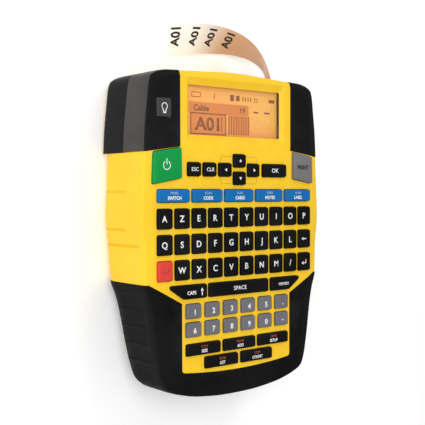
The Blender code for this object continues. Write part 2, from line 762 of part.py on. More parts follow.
def label():
    """The printed label: through the print engine and the slot, then a free curl to the left."""
    white = material("label_white", (0.85, 0.84, 0.82), 0.5)
    half = TAPE_WIDTH / 2
    thick = TAPE_THICKNESS / 2
    sections = []
    for place, across, normal in label_path():
        corners = []
        for side, level in ((-1, -1), (1, -1), (1, 1), (-1, 1)):
            corners.append(tuple(place + across * (side * half) + normal * (level * thick)))
        sections.append(corners)
    piece = new_piece("label_tape", lambda bm: ribbon(bm, sections), white)
    smooth(piece, 50.0)


def ribbon(bm, sections):
    """Join four-cornered sections with triangles whose diagonals run the same way on both faces."""
    rows = [[bm.verts.new(point) for point in section] for section in sections]
    for here, after in zip(rows[:-1], rows[1:]):
        for i, j in ((0, 1), (1, 2), (3, 2), (0, 3)):
            bm.faces.new((here[i], here[j], after[j]))
            bm.faces.new((here[i], after[j], after[i]))
    bm.faces.new(rows[0])
    bm.faces.new(rows[-1])


def label_path():
    """Places along the label with its width and thickness directions."""
    along = Vector((0, 1, 0))
    across = Vector((0, 0, 1))
    normal = Vector((1, 0, 0))
    yield Vector((TAPE_X, LABEL_START_Y, TAPE_Z)), across, normal
    place = Vector(LABEL_EXIT)
    twist_start = Vector((TAPE_X, LABEL_TWIST_Y[0], TAPE_Z))
    twist_end = Vector((place.x, LABEL_TWIST_Y[1], place.z))
    for i in range(TWIST_STEPS + 1):
        share = i / TWIST_STEPS
        slant = Matrix.Rotation(-SLOT_ANGLE * share, 3, "Y")
        yield twist_start.lerp(twist_end, share), slant @ across, slant @ normal
    across = slant @ across
    normal = slant @ normal
    yield place.copy(), across.copy(), normal.copy()
    step = 1.0 / CURL_STEPS
    for i in range(CURL_STEPS):
        share = (i + 0.5) * step
        turn = along * polynomial(CURL_TWIST, share)
        turn += across * polynomial(CURL_BEND, share)
        turn += normal * polynomial(CURL_SIDEWAYS, share)
        place = place + along * (CURL_LENGTH * step)
        rotation = Matrix.Rotation(turn.length * step, 3, turn.normalized())
        along = rotation @ along
        across = rotation @ across
        normal = rotation @ normal
        yield place.copy(), across.copy(), normal.copy()


def polynomial(factors, value):
    return sum(factor * value**power for power, factor in enumerate(factors))


# ---- doors in the back --------------------------------------------------------------------------
def doors():
    half, low, high = CASSETTE_DOOR

    def cassette_panel(bm):
        box(bm, (-half, low, 0.0), (half, high, WALL))

    hinge = (0.0, high + 0.2, 0.0)
    new_piece("cassette_door", cassette_panel, yellow(), origin=hinge)
    half_b, low_b, high_b = BATTERY_DOOR

    def battery_panel(bm):
        box(bm, (-half_b, low_b, 0.0), (half_b, high_b, WALL))

    frame = slope_frame()
    hinge_b = frame @ Vector((0.0, low_b - 0.2, 0.0))
    new_piece("battery_door", battery_panel, black(), frame, origin=tuple(hinge_b))


def main():
    for old in list(bpy.data.objects):
        bpy.data.objects.remove(old, do_unlink=True)
    front_shell()
    rear_shell()
    lower_bumper()
    shoulder("shoulder_left", -1)
    shoulder("shoulder_right", 1)
    side_grip()
    cutter_button()
    for name, (shape, finish, height) in key_table().items():
        key(name, shape, finish, height)
    for row in range(len(LETTER_ROWS_Y)):
        letter_row(row)
    display()
    electronics()
    print_engine()
    label()
    doors()


main()
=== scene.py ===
import math

import bmesh
import bpy
from mathutils import Matrix, Vector


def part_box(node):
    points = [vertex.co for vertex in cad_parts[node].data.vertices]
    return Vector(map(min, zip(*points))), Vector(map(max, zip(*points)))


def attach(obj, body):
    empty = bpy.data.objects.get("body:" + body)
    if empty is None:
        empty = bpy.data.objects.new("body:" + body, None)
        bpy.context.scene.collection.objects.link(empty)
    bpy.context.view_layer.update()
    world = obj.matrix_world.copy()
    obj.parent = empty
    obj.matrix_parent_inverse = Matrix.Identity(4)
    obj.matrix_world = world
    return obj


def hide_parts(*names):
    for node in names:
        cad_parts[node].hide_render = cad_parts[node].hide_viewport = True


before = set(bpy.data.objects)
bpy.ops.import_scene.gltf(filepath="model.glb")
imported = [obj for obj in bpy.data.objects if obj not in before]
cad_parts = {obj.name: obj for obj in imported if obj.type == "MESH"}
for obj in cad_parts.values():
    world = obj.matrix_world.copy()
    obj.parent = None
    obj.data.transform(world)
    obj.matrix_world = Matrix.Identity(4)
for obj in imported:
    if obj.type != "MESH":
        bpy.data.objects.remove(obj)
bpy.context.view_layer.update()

# Lengths in this script are millimetres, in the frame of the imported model; MM turns them into metres.
MM = 0.001

# ---- the housing's shape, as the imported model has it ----
FACE_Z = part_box("front_shell")[1].z / MM
FOLD_Y = -10.0
BACK_SLOPE = math.radians(7.0)
# Half outline seen from the face, from the top centre clockwise to the bottom.
HALF_OUTLINE = [(0.0, 87.0), (20.0, 86.2), (39.0, 85.2), (49.0, 84.5), (55.0, 82.6), (57.8, 79.0)]
HALF_OUTLINE += [(59.3, 68.0), (60.6, 56.0), (61.3, 43.5), (62.1, 29.0), (62.8, 16.0), (62.9, 6.0)]
HALF_OUTLINE += [(61.8, -4.0), (61.3, FOLD_Y), (60.9, -23.0), (60.4, -27.0), (58.4, -33.0)]
HALF_OUTLINE += [(56.8, -40.0), (55.7, -47.0), (54.4, -57.0), (53.0, -66.0), (51.5, -73.0)]
HALF_OUTLINE += [(48.9, -79.0), (42.0, -82.6), (31.0, -85.6), (19.0, -87.2), (9.0, -87.9), (0.0, -88.0)]
HALF_WIDTH = 62.9
TOP_REACH = 87.0 - FOLD_Y
BOTTOM_REACH = 88.0 + FOLD_Y
# Edge profiles: (inset, height above the back) and (inset, depth below the face).
BACK_PROFILE = [(12.0, 0.0), (9.8, 0.25), (7.5, 1.0), (5.6, 2.1), (3.9, 3.6), (2.6, 5.0), (1.6, 6.6)]
BACK_PROFILE += [(0.9, 8.4), (0.4, 10.5), (0.1, 12.4), (0.0, 14.0)]
SHOULDER_PROFILE = [(12.0, 0.0), (7.5, 1.0), (1.4, 3.0), (0.9, 3.65), (0.5, 4.4), (0.25, 5.4)]
SHOULDER_PROFILE += [(0.1, 6.5), (0.03, 9.5), (0.0, 14.0)]
FACE_PROFILE = [(0.0, 7.0), (0.12, 4.5), (0.35, 2.2), (0.7, 1.35), (1.15, 1.02), (1.9, 0.8)]
FACE_PROFILE += [(4.0, 0.42), (5.9, 0.08), (6.6, 0.0)]
PARTING = 4  # index in BACK_PROFILE where the back housing ends
SIDE_LEVELS = 18  # rings up the side wall
TOP_CHAMFER = 0.5  # the face's chamfer is this much narrower along the top end
WALL = 2.2
GAP = 0.35
RECESS = 0.8  # depth of the housing's recess under the bumper and the shoulders
SEAM = 0.15
PROUD = 0.25
BUTTON_PROUD = 0.6
SHARP = 32.0  # edges sharper than this many degrees stay sharp

SHOULDER_LOW = ((39.3, 45.8), (61.5, 42.6))
BAND_Z = (24.5, 42.6)
BAND_END_X = 45.0
BUTTON_INNER_X = 50.6
BUTTON_Y = (45.0, 79.0)
BUTTON_Z = (25.0, 38.6)
BUTTON_TRAVEL = 2.2
BUMPER_TOP = -25.0
BUMPER_SIDE = 38.5
BUMPER_BACK_INSET = 15.0

# Half width, lower y and upper y of the display window at the face and at the wall's inner side
WINDOW_TOP = (34.6, 49.6, 82.2)
WINDOW_FLOOR = (32.3, 52.2, 78.4)

KEY_FLANGE = 0.5
KEY_CORNER = 0.9
LETTER_PITCH = 11.0
LETTER_SIZE = (8.9, 10.1)
LETTER_ROWS = ["AZERTYUIOP", "QSDFGHJKL<", " WXCVBNM/^"]

TAPE_WIDTH = 19.0
TAPE_X = 34.0
TAPE_Z = 25.0
LABEL_EXIT = (37.0, 86.0, 27.0)
SLOT_ANGLE = 0.52
SLOT_HALF = (1.6, 10.5)
LABEL_SHADE_SPAN = (-9.0, 24.0)  # x where the film is still white, and where painted shade has turned it fully tan


# ---- materials ----
def join(tree, socket, value):
    """Give an input socket a value, or link it to an output socket."""
    if isinstance(value, bpy.types.NodeSocket):
        tree.links.new(value, socket)
    else:
        socket.default_value = value


def fill(tree, target, **values):
    """Set a node's inputs and settings by name, with _ for each space in an input's name."""
    for key, value in values.items():
        name = key.replace("_", " ")
        if name in target.inputs:
            join(tree, target.inputs[name], value)
        else:
            setattr(target, key, value)
    return target


def node(tree, kind, **values):
    return fill(tree, tree.nodes.new(kind), **values)


def mixed(tree, factor, first, second):
    """A colour mix of two colours or sockets by a socket."""
    mix = node(tree, "ShaderNodeMix", data_type="RGBA")
    join(tree, mix.inputs["Factor"], factor)
    for name, value in (("A", first), ("B", second)):
        socket = [s for s in mix.inputs if s.name == name and s.type == "RGBA"][0]
        join(tree, socket, (*value, 1.0) if isinstance(value, tuple) else value)
    return [s for s in mix.outputs if s.type == "RGBA"][0]


def ramp(tree, source, low, high, start=0.0, end=1.0, **more):
    """A value that goes from start to end while source goes from low to high."""
    limits = {"From_Min": low, "From_Max": high, "To_Min": start, "To_Max": end}
    return node(tree, "ShaderNodeMapRange", Value=source, **limits, **more).outputs["Result"]


def product(tree, first, second):
    made = node(tree, "ShaderNodeMath", operation="MULTIPLY")
    join(tree, made.inputs[0], first)
    join(tree, made.inputs[1], second)
    return made.outputs[0]


def new_material(name):
    """A material with its node tree, its shader and the socket of the object's coordinates."""
    made = bpy.data.materials.new(name)
    made.use_nodes = True
    tree = made.node_tree
    place = node(tree, "ShaderNodeTexCoord").outputs["Object"]
    return made, tree, tree.nodes["Principled BSDF"], place


def noise(tree, place, scale, detail):
    return node(tree, "ShaderNodeTexNoise", Vector=place, Scale=scale, Detail=detail).outputs["Fac"]


def surface(
    name, colour, roughness=0.5, grain=3200.0, bump=0.25, mottle=0.08, spread=0.1,
    wear_and_highlight=0.0, worn_and_lit=None, metallic=0.0, coat=0.0, specular=0.5,
):
    """A moulded surface: mottled colour, fine grain, uneven gloss and lighter edges, partly wear and partly
    painted highlight.
    """
    made, tree, shader, place = new_material(name)
    fill(tree, shader, Metallic=metallic, Coat_Weight=coat, Coat_Roughness=0.08, Specular_IOR_Level=specular)
    smudges = noise(tree, place, 110.0, 5.0)
    darker = tuple(c * (1.0 - mottle) for c in colour)
    lighter = tuple(min(1.0, c * (1.0 + mottle) + 0.004) for c in colour)
    tone = mixed(tree, ramp(tree, noise(tree, place, 28.0, 4.0), 0.35, 0.65), darker, lighter)
    # Sharp edges are painted lighter: partly wear, partly a painted highlight where the edges catch the
    # light.
    if wear_and_highlight > 0.0:
        edge = node(tree, "ShaderNodeNewGeometry").outputs["Pointiness"]
        bright = worn_and_lit or tuple(min(1.0, c * 1.6 + 0.05) for c in colour)
        wear_and_highlight_mask = product(tree, ramp(tree, edge, 0.515, 0.6), ramp(tree, smudges, 0.42, 0.7))
        tone = mixed(tree, product(tree, wear_and_highlight_mask, wear_and_highlight), tone, bright)
    gloss = ramp(tree, smudges, 0.3, 0.7, max(0.02, roughness - spread), min(1.0, roughness + spread))
    fine = noise(tree, place, grain, 3.0)
    rise = node(tree, "ShaderNodeBump", Strength=bump, Distance=0.00012, Height=fine)
    fill(tree, shader, Base_Color=tone, Roughness=gloss, Normal=rise.outputs["Normal"])
    return made


def printed(name, colour):
    """Printing ink: an even colour with slight speckle."""
    return surface(name, colour, grain=5200.0, bump=0.08, mottle=0.05, spread=0.05)


def display_material():
    """The amber display: lighter to the right, redder at the left and below, with a pixel grid."""
    made, tree, shader, place = new_material("amber_display")
    split = node(tree, "ShaderNodeSeparateXYZ", Vector=place)
    across = ramp(tree, split.outputs["X"], -0.034, 0.036)
    up = ramp(tree, split.outputs["Y"], 0.051, 0.062)
    warm = mixed(tree, across, (0.90, 0.38, 0.07), (0.93, 0.53, 0.11))
    tone = mixed(tree, up, (0.86, 0.32, 0.065), warm)
    checker = node(tree, "ShaderNodeTexChecker", Scale=1600.0, Vector=place)
    grain = ramp(tree, noise(tree, place, 900.0, 2.0), 0.35, 0.75)
    tone = mixed(tree, product(tree, checker.outputs["Fac"], grain), tone, (0.74, 0.28, 0.08))
    fill(tree, shader, Base_Color=tone, Emission_Color=tone, Emission_Strength=0.12, Roughness=0.35)
    return made


def clear_material():
    made, tree, shader, place = new_material("clear_window")
    gloss = ramp(tree, noise(tree, place, 90.0, 4.0), 0.0, 1.0, 0.03, 0.16)
    fill(tree, shader, Base_Color=(1.0, 0.80, 0.5, 1.0), Alpha=0.04, Specular_IOR_Level=0.3, Roughness=gloss)
    return made


def label_material():
    """Label film: white at its free end, with painted shade that turns it tan towards the slot, and a faint
    painted glow.
    """
    made = surface("label_film", (0.90, 0.925, 0.97), 0.42, grain=1500.0, bump=0.05, mottle=0.02)
    tree = made.node_tree
    shader = tree.nodes["Principled BSDF"]
    place = node(tree, "ShaderNodeTexCoord").outputs["Object"]
    split = node(tree, "ShaderNodeSeparateXYZ", Vector=place)
    white_end, shaded_end = (x * MM for x in LABEL_SHADE_SPAN)
    across = ramp(tree, split.outputs["X"], white_end, shaded_end, interpolation_type="SMOOTHSTEP")
    plain = shader.inputs["Base Color"].links[0].from_socket
    # Painted shade: the film is mixed towards tan near the slot.
    tone = mixed(tree, across, plain, (0.56, 0.36, 0.25))
    # Painted glow: the film gives off a little light in its own colour, so its free end stays white.
    fill(tree, shader, Base_Color=tone, Emission_Color=tone, Emission_Strength=0.16)
    return made


def moulded(name, colour, roughness=0.5, mottle=0.06, wear_and_highlight=0.3, **more):
    """Coloured plastic or rubber with little shine of its own."""
    values = {"bump": 0.3, "specular": 0.2, **more}
    return surface(name, colour, roughness, mottle=mottle, wear_and_highlight=wear_and_highlight, **values)


YELLOW = moulded("yellow_shell", (0.95, 0.585, 0.02), 0.46, 0.035, 0.25)
# The rubber's lighter edge colour is partly wear and partly painted highlight.
RUBBER_LOOK = {"bump": 0.5, "grain": 2400.0, "spread": 0.05, "worn_and_lit": (0.03, 0.03, 0.032), "specular": 0.06}
RUBBER = moulded("black_rubber", (0.0035, 0.0035, 0.004), 0.6, 0.1, 0.35, **RUBBER_LOOK)
BLACK_LOOK = {"bump": 0.35, "spread": 0.05, "specular": 0.07}
BLACK = moulded("black_plastic", (0.0065, 0.0065, 0.007), 0.5, 0.1, 0.12, **BLACK_LOOK)
GREY_BAND = moulded("dark_grey_plastic", (0.050, 0.0455, 0.0445), 0.5, 0.08, 0.4)
KEY_BLACK = moulded("key_black", (0.0035, 0.0033, 0.0035), 0.5, 0.15, 0.35, specular=0.08)
KEY_GREY = moulded("key_grey", (0.15, 0.15, 0.165), 0.55)
KEY_BLUE = moulded("key_blue", (0.0, 0.145, 0.43))
KEY_GREEN = moulded("key_green", (0.0, 0.285, 0.052), 0.5, 0.05, 0.25, specular=0.15)
KEY_RED = moulded("key_red", (0.72, 0.05, 0.035), 0.5, 0.08, 0.25)
KEY_PRINT = moulded("key_print_grey", (0.175, 0.17, 0.175), 0.52, 0.05)
WHITE_INK = printed("white_ink", (0.86, 0.87, 0.88))
PALE_INK = printed("pale_blue_ink", (0.30, 0.50, 0.78))
RED_INK = printed("red_ink", (0.36, 0.06, 0.045))
BLACK_INK = printed("black_ink", (0.009, 0.009, 0.010))
LINE_INK = printed("line_ink", (0.50, 0.25, 0.02))
PIXEL_INK = printed("display_pixels", (0.27, 0.05, 0.012))
SOFT_PIXEL = printed("display_shade", (0.70, 0.22, 0.045))
DISPLAY = display_material()
CLEAR = clear_material()
LABEL = label_material()
BOARD = surface("circuit_board", (0.015, 0.13, 0.045), 0.4, grain=700.0, bump=0.2, mottle=0.2)
WRAP = surface("battery_wrap", (0.03, 0.05, 0.14), 0.3, grain=900.0, bump=0.1, mottle=0.1, coat=0.3)
CASSETTE = surface("cassette_grey", (0.30, 0.31, 0.32), 0.42, bump=0.2)
CERAMIC = surface("print_head_ceramic", (0.33, 0.32, 0.30), 0.4, grain=1800.0)
ROLLER = surface("roller_rubber", (0.035, 0.035, 0.037), 0.8, grain=2600.0, bump=0.6)
STEEL = surface("motor_steel", (0.60, 0.60, 0.61), 0.3, grain=900.0, bump=0.1, metallic=1.0)
KNIFE = surface("knife_steel", (0.68, 0.68, 0.70), 0.22, grain=1200.0, bump=0.15, metallic=1.0)
BRASS = surface("gear_brass", (0.72, 0.50, 0.18), 0.32, grain=1200.0, bump=0.15, metallic=1.0)
ACETAL = surface("gear_white", (0.78, 0.78, 0.74), 0.45, grain=1500.0, bump=0.1)


# ---- mesh helpers ----
def placed(name, data):
    """A new object in the scene."""
    made = bpy.data.objects.new(name, data)
    bpy.context.scene.collection.objects.link(made)
    return made


def box_of(name):
    """A node's lowest and highest corner in millimetres."""
    return [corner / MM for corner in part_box(name)]


def top_of(name):
    return box_of(name)[1].z


def piece(name, build, finish, body=None, node_name=None, smooth_angle=35.0):
    """A mesh object filled by build(bm) in millimetres, riding on a body of the frame."""
    bm = bmesh.new()
    build(bm)
    bmesh.ops.scale(bm, vec=(MM, MM, MM), verts=bm.verts)
    bmesh.ops.recalc_face_normals(bm, faces=bm.faces)
    mesh = bpy.data.meshes.new(name)
    bm.to_mesh(mesh)
    bm.free()
    made = placed(name, mesh)
    if finish is not None:
        mesh.materials.append(finish)
    if smooth_angle:
        mesh.shade_smooth()
        mesh.set_sharp_from_angle(angle=math.radians(smooth_angle))
    if body is not None:
        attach(made, body)
    if node_name is not None:
        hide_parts(node_name)
    return made


def apply_modifiers(target):
    """Replace the mesh with its evaluated form."""
    graph = bpy.context.evaluated_depsgraph_get()
    done = bpy.data.meshes.new_from_object(target.evaluated_get(graph))
    old = target.data
    target.modifiers.clear()
    target.data = done
    bpy.data.meshes.remove(old)


def cut(target, build, operation="DIFFERENCE"):
    """Boolean with a throw-away solid, applied at once."""
    subtract(target, piece("tool", build, None, smooth_angle=None), operation)


def stand_for(made, body, node_name):
    """Let a finished piece take a node's place on its body."""
    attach(made, body)
    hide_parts(node_name)
    shade(made)


def subtract(target, tool, operation="DIFFERENCE"):
    """Boolean with a piece that isn't needed afterwards."""
    step = target.modifiers.new("cut", "BOOLEAN")
    step.operation = operation
    step.object = tool
    step.solver = "EXACT"
    apply_modifiers(target)
    bpy.data.objects.remove(tool, do_unlink=True)


def round_edges(target, width):
    """Small rounds on the sharp edges, applied at once."""
    step = target.modifiers.new("round", "BEVEL")
    step.width = width * MM
    step.segments = 2
    step.limit_method = "ANGLE"
    step.angle_limit = math.radians(38.0)
    apply_modifiers(target)


def shade(target, degrees=SHARP):
    target.data.shade_smooth()
    target.data.set_sharp_from_angle(angle=math.radians(degrees))
    step = target.modifiers.new("weighted", "WEIGHTED_NORMAL")
    step.keep_sharp = True
    step.weight = 60


def loft(bm, rings):
    """Join rings with quads and close both ends."""
    rows = [[bm.verts.new(point) for point in ring] for ring in rings]
    for low, high in zip(rows[:-1], rows[1:]):
        for i in range(len(low)):
            j = (i + 1) % len(low)
            bm.faces.new((low[i], low[j], high[j], high[i]))
    for row in (rows[0], rows[-1]):
        end_face(bm, row)


def end_face(bm, row):
    fold = [i for i, v in enumerate(row) if abs(v.co.y - FOLD_Y) < 1e-4]
    heights = [v.co.z for v in row]
    if len(fold) == 2 and max(heights) - min(heights) > 1e-4:
        a, b = fold
        bm.faces.new(row[a : b + 1])
        bm.faces.new(row[b:] + row[: a + 1])
    else:
        bm.faces.new(row)


def flat(points, z):
    return [(x, y, z) for x, y in points]


def prism(bm, points, low, high):
    loft(bm, [flat(points, low), flat(points, high)])


def box(bm, low, high):
    points = [(low[0], low[1]), (high[0], low[1]), (high[0], high[1]), (low[0], high[1])]
    prism(bm, points, low[2], high[2])


def rectangle(centre, size):
    x, y = centre
    w, h = size[0] / 2, size[1] / 2
    return [(x - w, y - h), (x + w, y - h), (x + w, y + h), (x - w, y + h)]


def corners_of(low, high):
    """The outline of a box seen from above."""
    return [(low.x, low.y), (high.x, low.y), (high.x, high.y), (low.x, high.y)]


def span(half, low, high):
    """Outline of a rectangle centred on x = 0, between two y."""
    return [(-half, low), (half, low), (half, high), (-half, high)]


def circle(centre, radius, sides=32):
    turn = 2 * math.pi / sides
    return [
        (centre[0] + radius * math.cos(i * turn), centre[1] + radius * math.sin(i * turn))
        for i in range(sides)
    ]


def grown(points, distance):
    """A convex counter-clockwise outline with every side moved outwards."""
    result = []
    count = len(points)
    for i in range(count):
        before = Vector(points[i - 1])
        here = Vector(points[i])
        after = Vector(points[(i + 1) % count])
        first = (here - before).normalized()
        second = (after - here).normalized()
        normal_a = Vector((first.y, -first.x))
        normal_b = Vector((second.y, -second.x))
        push = (normal_a + normal_b) / (1.0 + normal_a.dot(normal_b))
        result.append(tuple(here + push * distance))
    return result


def rounded(points, radius, steps=4):
    """The outline with each corner drawn as a short curve that starts radius from it."""
    result = []
    count = len(points)
    for i in range(count):
        here = Vector(points[i])
        back = Vector(points[i - 1]) - here
        ahead = Vector(points[(i + 1) % count]) - here
        start = here + back.normalized() * min(radius, back.length * 0.45)
        end = here + ahead.normalized() * min(radius, ahead.length * 0.45)
        for k in range(steps + 1):
            t = k / steps
            spot = start * (1 - t) ** 2 + here * (2 * t * (1 - t)) + end * t**2
            result.append(tuple(spot))
    return result


def smoothstep(value, low, high):
    t = min(1.0, max(0.0, (value - low) / (high - low)))
    return t * t * (3 - 2 * t)


def bump_between(value, low, high, soft):
    """1 between low and high, falling to 0 over soft on both sides."""
    return smoothstep(value, low - soft, low) * (1 - smoothstep(value, high, high + soft))


# ---- housing ----
def curve_through(points, spacing):
    """Closed smooth curve through the points, with a point about every spacing millimetres."""
    result = []
    count = len(points)
    for i in range(count):
        p0, p1, p2, p3 = (Vector(points[(i + k) % count]) for k in (-1, 0, 1, 2))
        steps = max(1, round((p2 - p1).length / spacing(p1, p2)))
        for k in range(steps):
            t = k / steps
            spot = 0.5 * (
                2 * p1
                + (p2 - p0) * t
                + (2 * p0 - 5 * p1 + 4 * p2 - p3) * t**2
                + (3 * p1 - p0 - 3 * p2 + p3) * t**3
            )
            result.append(tuple(spot))
    return result


def point_spacing(first, second):
    """Closest where the grip grooves are, close along the other sides, and wider at the ends."""
    if abs(first.x) < 51 or abs(second.x) < 51:
        return 2.6
    return 0.55 if -14.0 < second.y < 30.0 else 0.8


CONTROL = list(reversed(HALF_OUTLINE)) + [(-x, y) for x, y in HALF_OUTLINE[1:-1]]
OUTLINE = curve_through(CONTROL, point_spacing)


def outline(inset=0.0, top_inset=None):
    shrink_x = 1.0 - inset / HALF_WIDTH
    shrink_down = 1.0 - inset / BOTTOM_REACH
    shrink_up = 1.0 - (inset if top_inset is None else top_inset) / TOP_REACH
    points = []
    for x, y in OUTLINE:
        shrink_y = shrink_up if y > FOLD_Y else shrink_down
        points.append((x * shrink_x, FOLD_Y + (y - FOLD_Y) * shrink_y))
    return points


def back_height(y):
    return max(0.0, (FOLD_Y - y) * math.tan(BACK_SLOPE))


def back_ring(inset, height):
    return [(x, y, back_height(y) + height) for x, y in outline(inset)]


def side_rings(grow):
    """Rings up the side wall, from the end of the back's rounding to the face's rounding."""
    rings = []
    top = FACE_Z - FACE_PROFILE[0][0] - FACE_PROFILE[0][1]
    for k in range(1, SIDE_LEVELS):
        t = k / SIDE_LEVELS
        ring = []
        for x, y in outline(-grow):
            low = back_height(y) + BACK_PROFILE[-1][1]
            ring.append((x, y, low + (top - low) * t))
        rings.append(ring)
    return rings


def envelope(grow=0.0, start=0, relief=None, coarse=False, profile=BACK_PROFILE):
    """Rings of the whole housing from the back to the face, moved outwards by grow."""
    rings = [back_ring(inset - grow, height - grow) for inset, height in profile[start:-1]]
    rings.append(back_ring(-grow, profile[-1][1]))
    if not coarse:
        rings += side_rings(grow)
    rings.append(flat(outline(-grow), FACE_Z - FACE_PROFILE[0][1]))
    for inset, depth in FACE_PROFILE[1:]:
        ring = outline(inset - grow, inset * TOP_CHAMFER - grow)
        rings.append(flat(ring, FACE_Z - depth + grow))
    if relief is None:
        return rings
    return [[relieved(point, relief) for point in ring] for ring in rings]


def relieved(point, relief):
    """Move a point of the side wall in towards the middle by relief(point)."""
    x, y, z = point
    if abs(x) < 45.0:
        return point
    return (x - math.copysign(relief(y, z), x), y, z)


GRIP_GROOVES = ((22.4, 30.0), (2.6, 30.0), (-5.7, 41.0))  # y, and how far up towards the face


def grip_relief(y, z):
    """Finger scallops of the yellow sides: narrow grooves with shallow swells between them."""
    depth = 0.0
    for groove_y, top in GRIP_GROOVES:
        fade = bump_between(z, 4.0, top - 5.0, 5.0)
        depth += 1.0 * fade * math.exp(-(((y - groove_y) / 0.5) ** 2))
        depth += 0.35 * fade * math.exp(-(((y - groove_y) / 3.2) ** 2))
    return depth


PANEL_EDGES = ((-38.4, -31.0), (-47.4, -39.8), (-56.8, -48.8), (-65.8, -58.2), (-73.5, -67.2))
PANEL_DEPTH = 0.65


def bumper_relief(y, z):
    """Shallow panels in the bumper's sides, with ribs left standing between them."""
    height = z - back_height(y)
    fade = bump_between(height, 6.0, 36.5 - back_height(y), 0.6)
    depth = sum(bump_between(y, low, high, 0.45) for low, high in PANEL_EDGES)
    return PANEL_DEPTH * depth * fade


def key_outlines():
    """Outline of every key's cap: name -> list of corners."""
    outlines = dict(SHAPED_KEYS)
    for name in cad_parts:
        if name in outlines or name.startswith("letter_row"):
            continue
        if name.endswith("_key") or "_key_" in name or name == "light_button":
            low, high = box_of(name)
            margin = Vector((KEY_FLANGE, KEY_FLANGE, 0.0))
            outlines[name] = corners_of(low + margin, high - margin)
    return outlines


SHAPED_KEYS = {
    "power_button": [(-56.9, 26.3), (-39.1, 29.4), (-39.4, 45.2), (-56.2, 42.6)],
    "print_button": [(40.6, 29.7), (55.6, 27.2), (55.2, 42.6), (40.6, 45.0)],
    "caps_key": [(-37.4, -33.4), (-22.8, -33.4), (-22.8, -26.3), (-46.1, -26.3), (-46.1, -27.6)],
    "favourites_key": [(23.2, -33.4), (37.0, -33.4), (44.8, -27.9), (44.8, -26.3), (23.2, -26.3)],
}


def letter_centres(row):
    low, high = box_of(f"letter_row_{row + 1}")
    middle = (low.y + high.y) / 2
    return [((i - 4.5) * LETTER_PITCH, middle) for i in range(10)]


def front_housing():
    def build(bm):
        outside = envelope(0.0, PARTING, grip_relief)
        inside = envelope(-WALL, PARTING, None)
        inset, height = BACK_PROFILE[PARTING]
        inside[0] = back_ring(inset + WALL, height)
        loft(bm, list(reversed(inside)) + outside)

    shell = piece("housing_front", build, YELLOW, "root", "front_shell")

    def key_holes(bm):
        shapes = list(key_outlines().values())
        for row in range(3):
            shapes += [rectangle(centre, LETTER_SIZE) for centre in letter_centres(row)]
        for shape in shapes:
            prism(bm, rounded(grown(shape, GAP), KEY_CORNER + GAP, 3), FACE_Z - 7.0, FACE_Z + 4.0)

    def window(bm):
        over = 0.6
        slope = over / WALL
        outer, inner = span(*WINDOW_TOP), span(*WINDOW_FLOOR)
        top = [beyond(a, b, slope) for a, b in zip(outer, inner)]
        base = [beyond(b, a, slope) for a, b in zip(outer, inner)]
        floor_z = FACE_Z - WALL - over
        loft(bm, [flat(rounded(base, 0.8), floor_z), flat(rounded(top, 1.6), FACE_Z + over)])

    def wall_openings(bm):
        centre = socket_centre()
        ring = circle((0, 0), 4.2)
        loft(bm, [[(x, centre[1] + a, centre[2] + b) for a, b in ring] for x in (57.0, 67.0)])
        button_opening(bm, GAP + 1.0)
        moved(bm, slot_frame(), label_slot)

    cut(shell, key_holes)
    cut(shell, window)
    cut(shell, wall_openings)
    recess(shell, limit_to_bumper)
    for side in (-1, 1):
        recess(shell, lambda tool, room, s=side: limit_to_shoulder(tool, s, room))
    shade(shell, 30.0)


def beyond(first, second, share):
    """The point past first on the line from second, by a share of the line."""
    return tuple(a + (a - b) * share for a, b in zip(first, second))


def button_opening(bm, room=GAP):
    low = (BUTTON_INNER_X - BUTTON_TRAVEL, BUTTON_Y[0] - room, BUTTON_Z[0] - room)
    box(bm, low, (80.0, BUTTON_Y[1] + room, BUTTON_Z[1] + room))


def label_slot(bm):
    thickness, width = SLOT_HALF
    corners = rounded(rectangle((0.0, 0.0), (2 * thickness, 2 * width)), 1.2, 4)
    loft(bm, [[(x, y, z) for x, z in corners] for y in (-6.0, 6.0)])


def slot_frame():
    return Matrix.Translation(LABEL_EXIT) @ Matrix.Rotation(-SLOT_ANGLE, 4, "Y")


def socket_centre():
    low, high = box_of("dc_socket")
    return (high.x, (low.y + high.y) / 2, (low.z + high.z) / 2)


def slope_frame():
    """From (x, distance from the fold, height) on the sloping back to the object's frame."""
    return Matrix.Translation((0, FOLD_Y, 0)) @ Matrix.Rotation(-BACK_SLOPE, 4, "X")


def moved(bm, matrix, build):
    """Add what build makes, moved by a matrix, and return its vertices."""
    before = set(bm.verts)
    build(bm)
    added = [v for v in bm.verts if v not in before]
    bmesh.ops.transform(bm, matrix=matrix, verts=added)
    return added


# Half width, lower y and upper y of each door
CASSETTE_DOOR = (42.0, 3.0, 71.0)
BATTERY_DOOR = (32.0, -57.0, -6.0)


def rear_housing():
    def build(bm):
        floor = back_ring(13.0, WALL)
        rim_in = back_ring(BACK_PROFILE[PARTING][0] + WALL, BACK_PROFILE[PARTING][1] - GAP)
        rim_out = back_ring(BACK_PROFILE[PARTING][0], BACK_PROFILE[PARTING][1] - GAP)
        outside = [back_ring(*level) for level in reversed(BACK_PROFILE[:PARTING])]
        loft(bm, [floor, rim_in, rim_out] + outside)

    shell = piece("housing_rear", build, YELLOW, "root", "rear_shell")

    def openings(bm):
        for edges, placing in ((CASSETTE_DOOR, Matrix.Identity(4)), (BATTERY_DOOR, slope_frame())):
            hole = rounded(grown(span(*edges), GAP), 3.0, 5)
            moved(bm, placing, lambda inner, hole=hole: prism(inner, hole, -4.0, 7.0))

    cut(shell, openings)
    recess(shell, limit_to_bumper)
    shade(shell, 30.0)


def skin(name, outer, inner, finish, relief=None, profile=BACK_PROFILE):
    """A skin around the whole housing, between two distances from its surface."""
    made = piece(name, lambda bm: loft(bm, envelope(outer, 0, relief, profile=profile)), finish)
    cut(made, lambda bm: loft(bm, envelope(inner, 0, None, coarse=True)))
    return made


def recess(shell, limit):
    """Sink a shell under a piece that lies in it; limit(tool, clearance) sets the piece's area."""
    tool = skin("recess_tool", 3.0, -RECESS, None)
    limit(tool, SEAM)
    subtract(shell, tool)


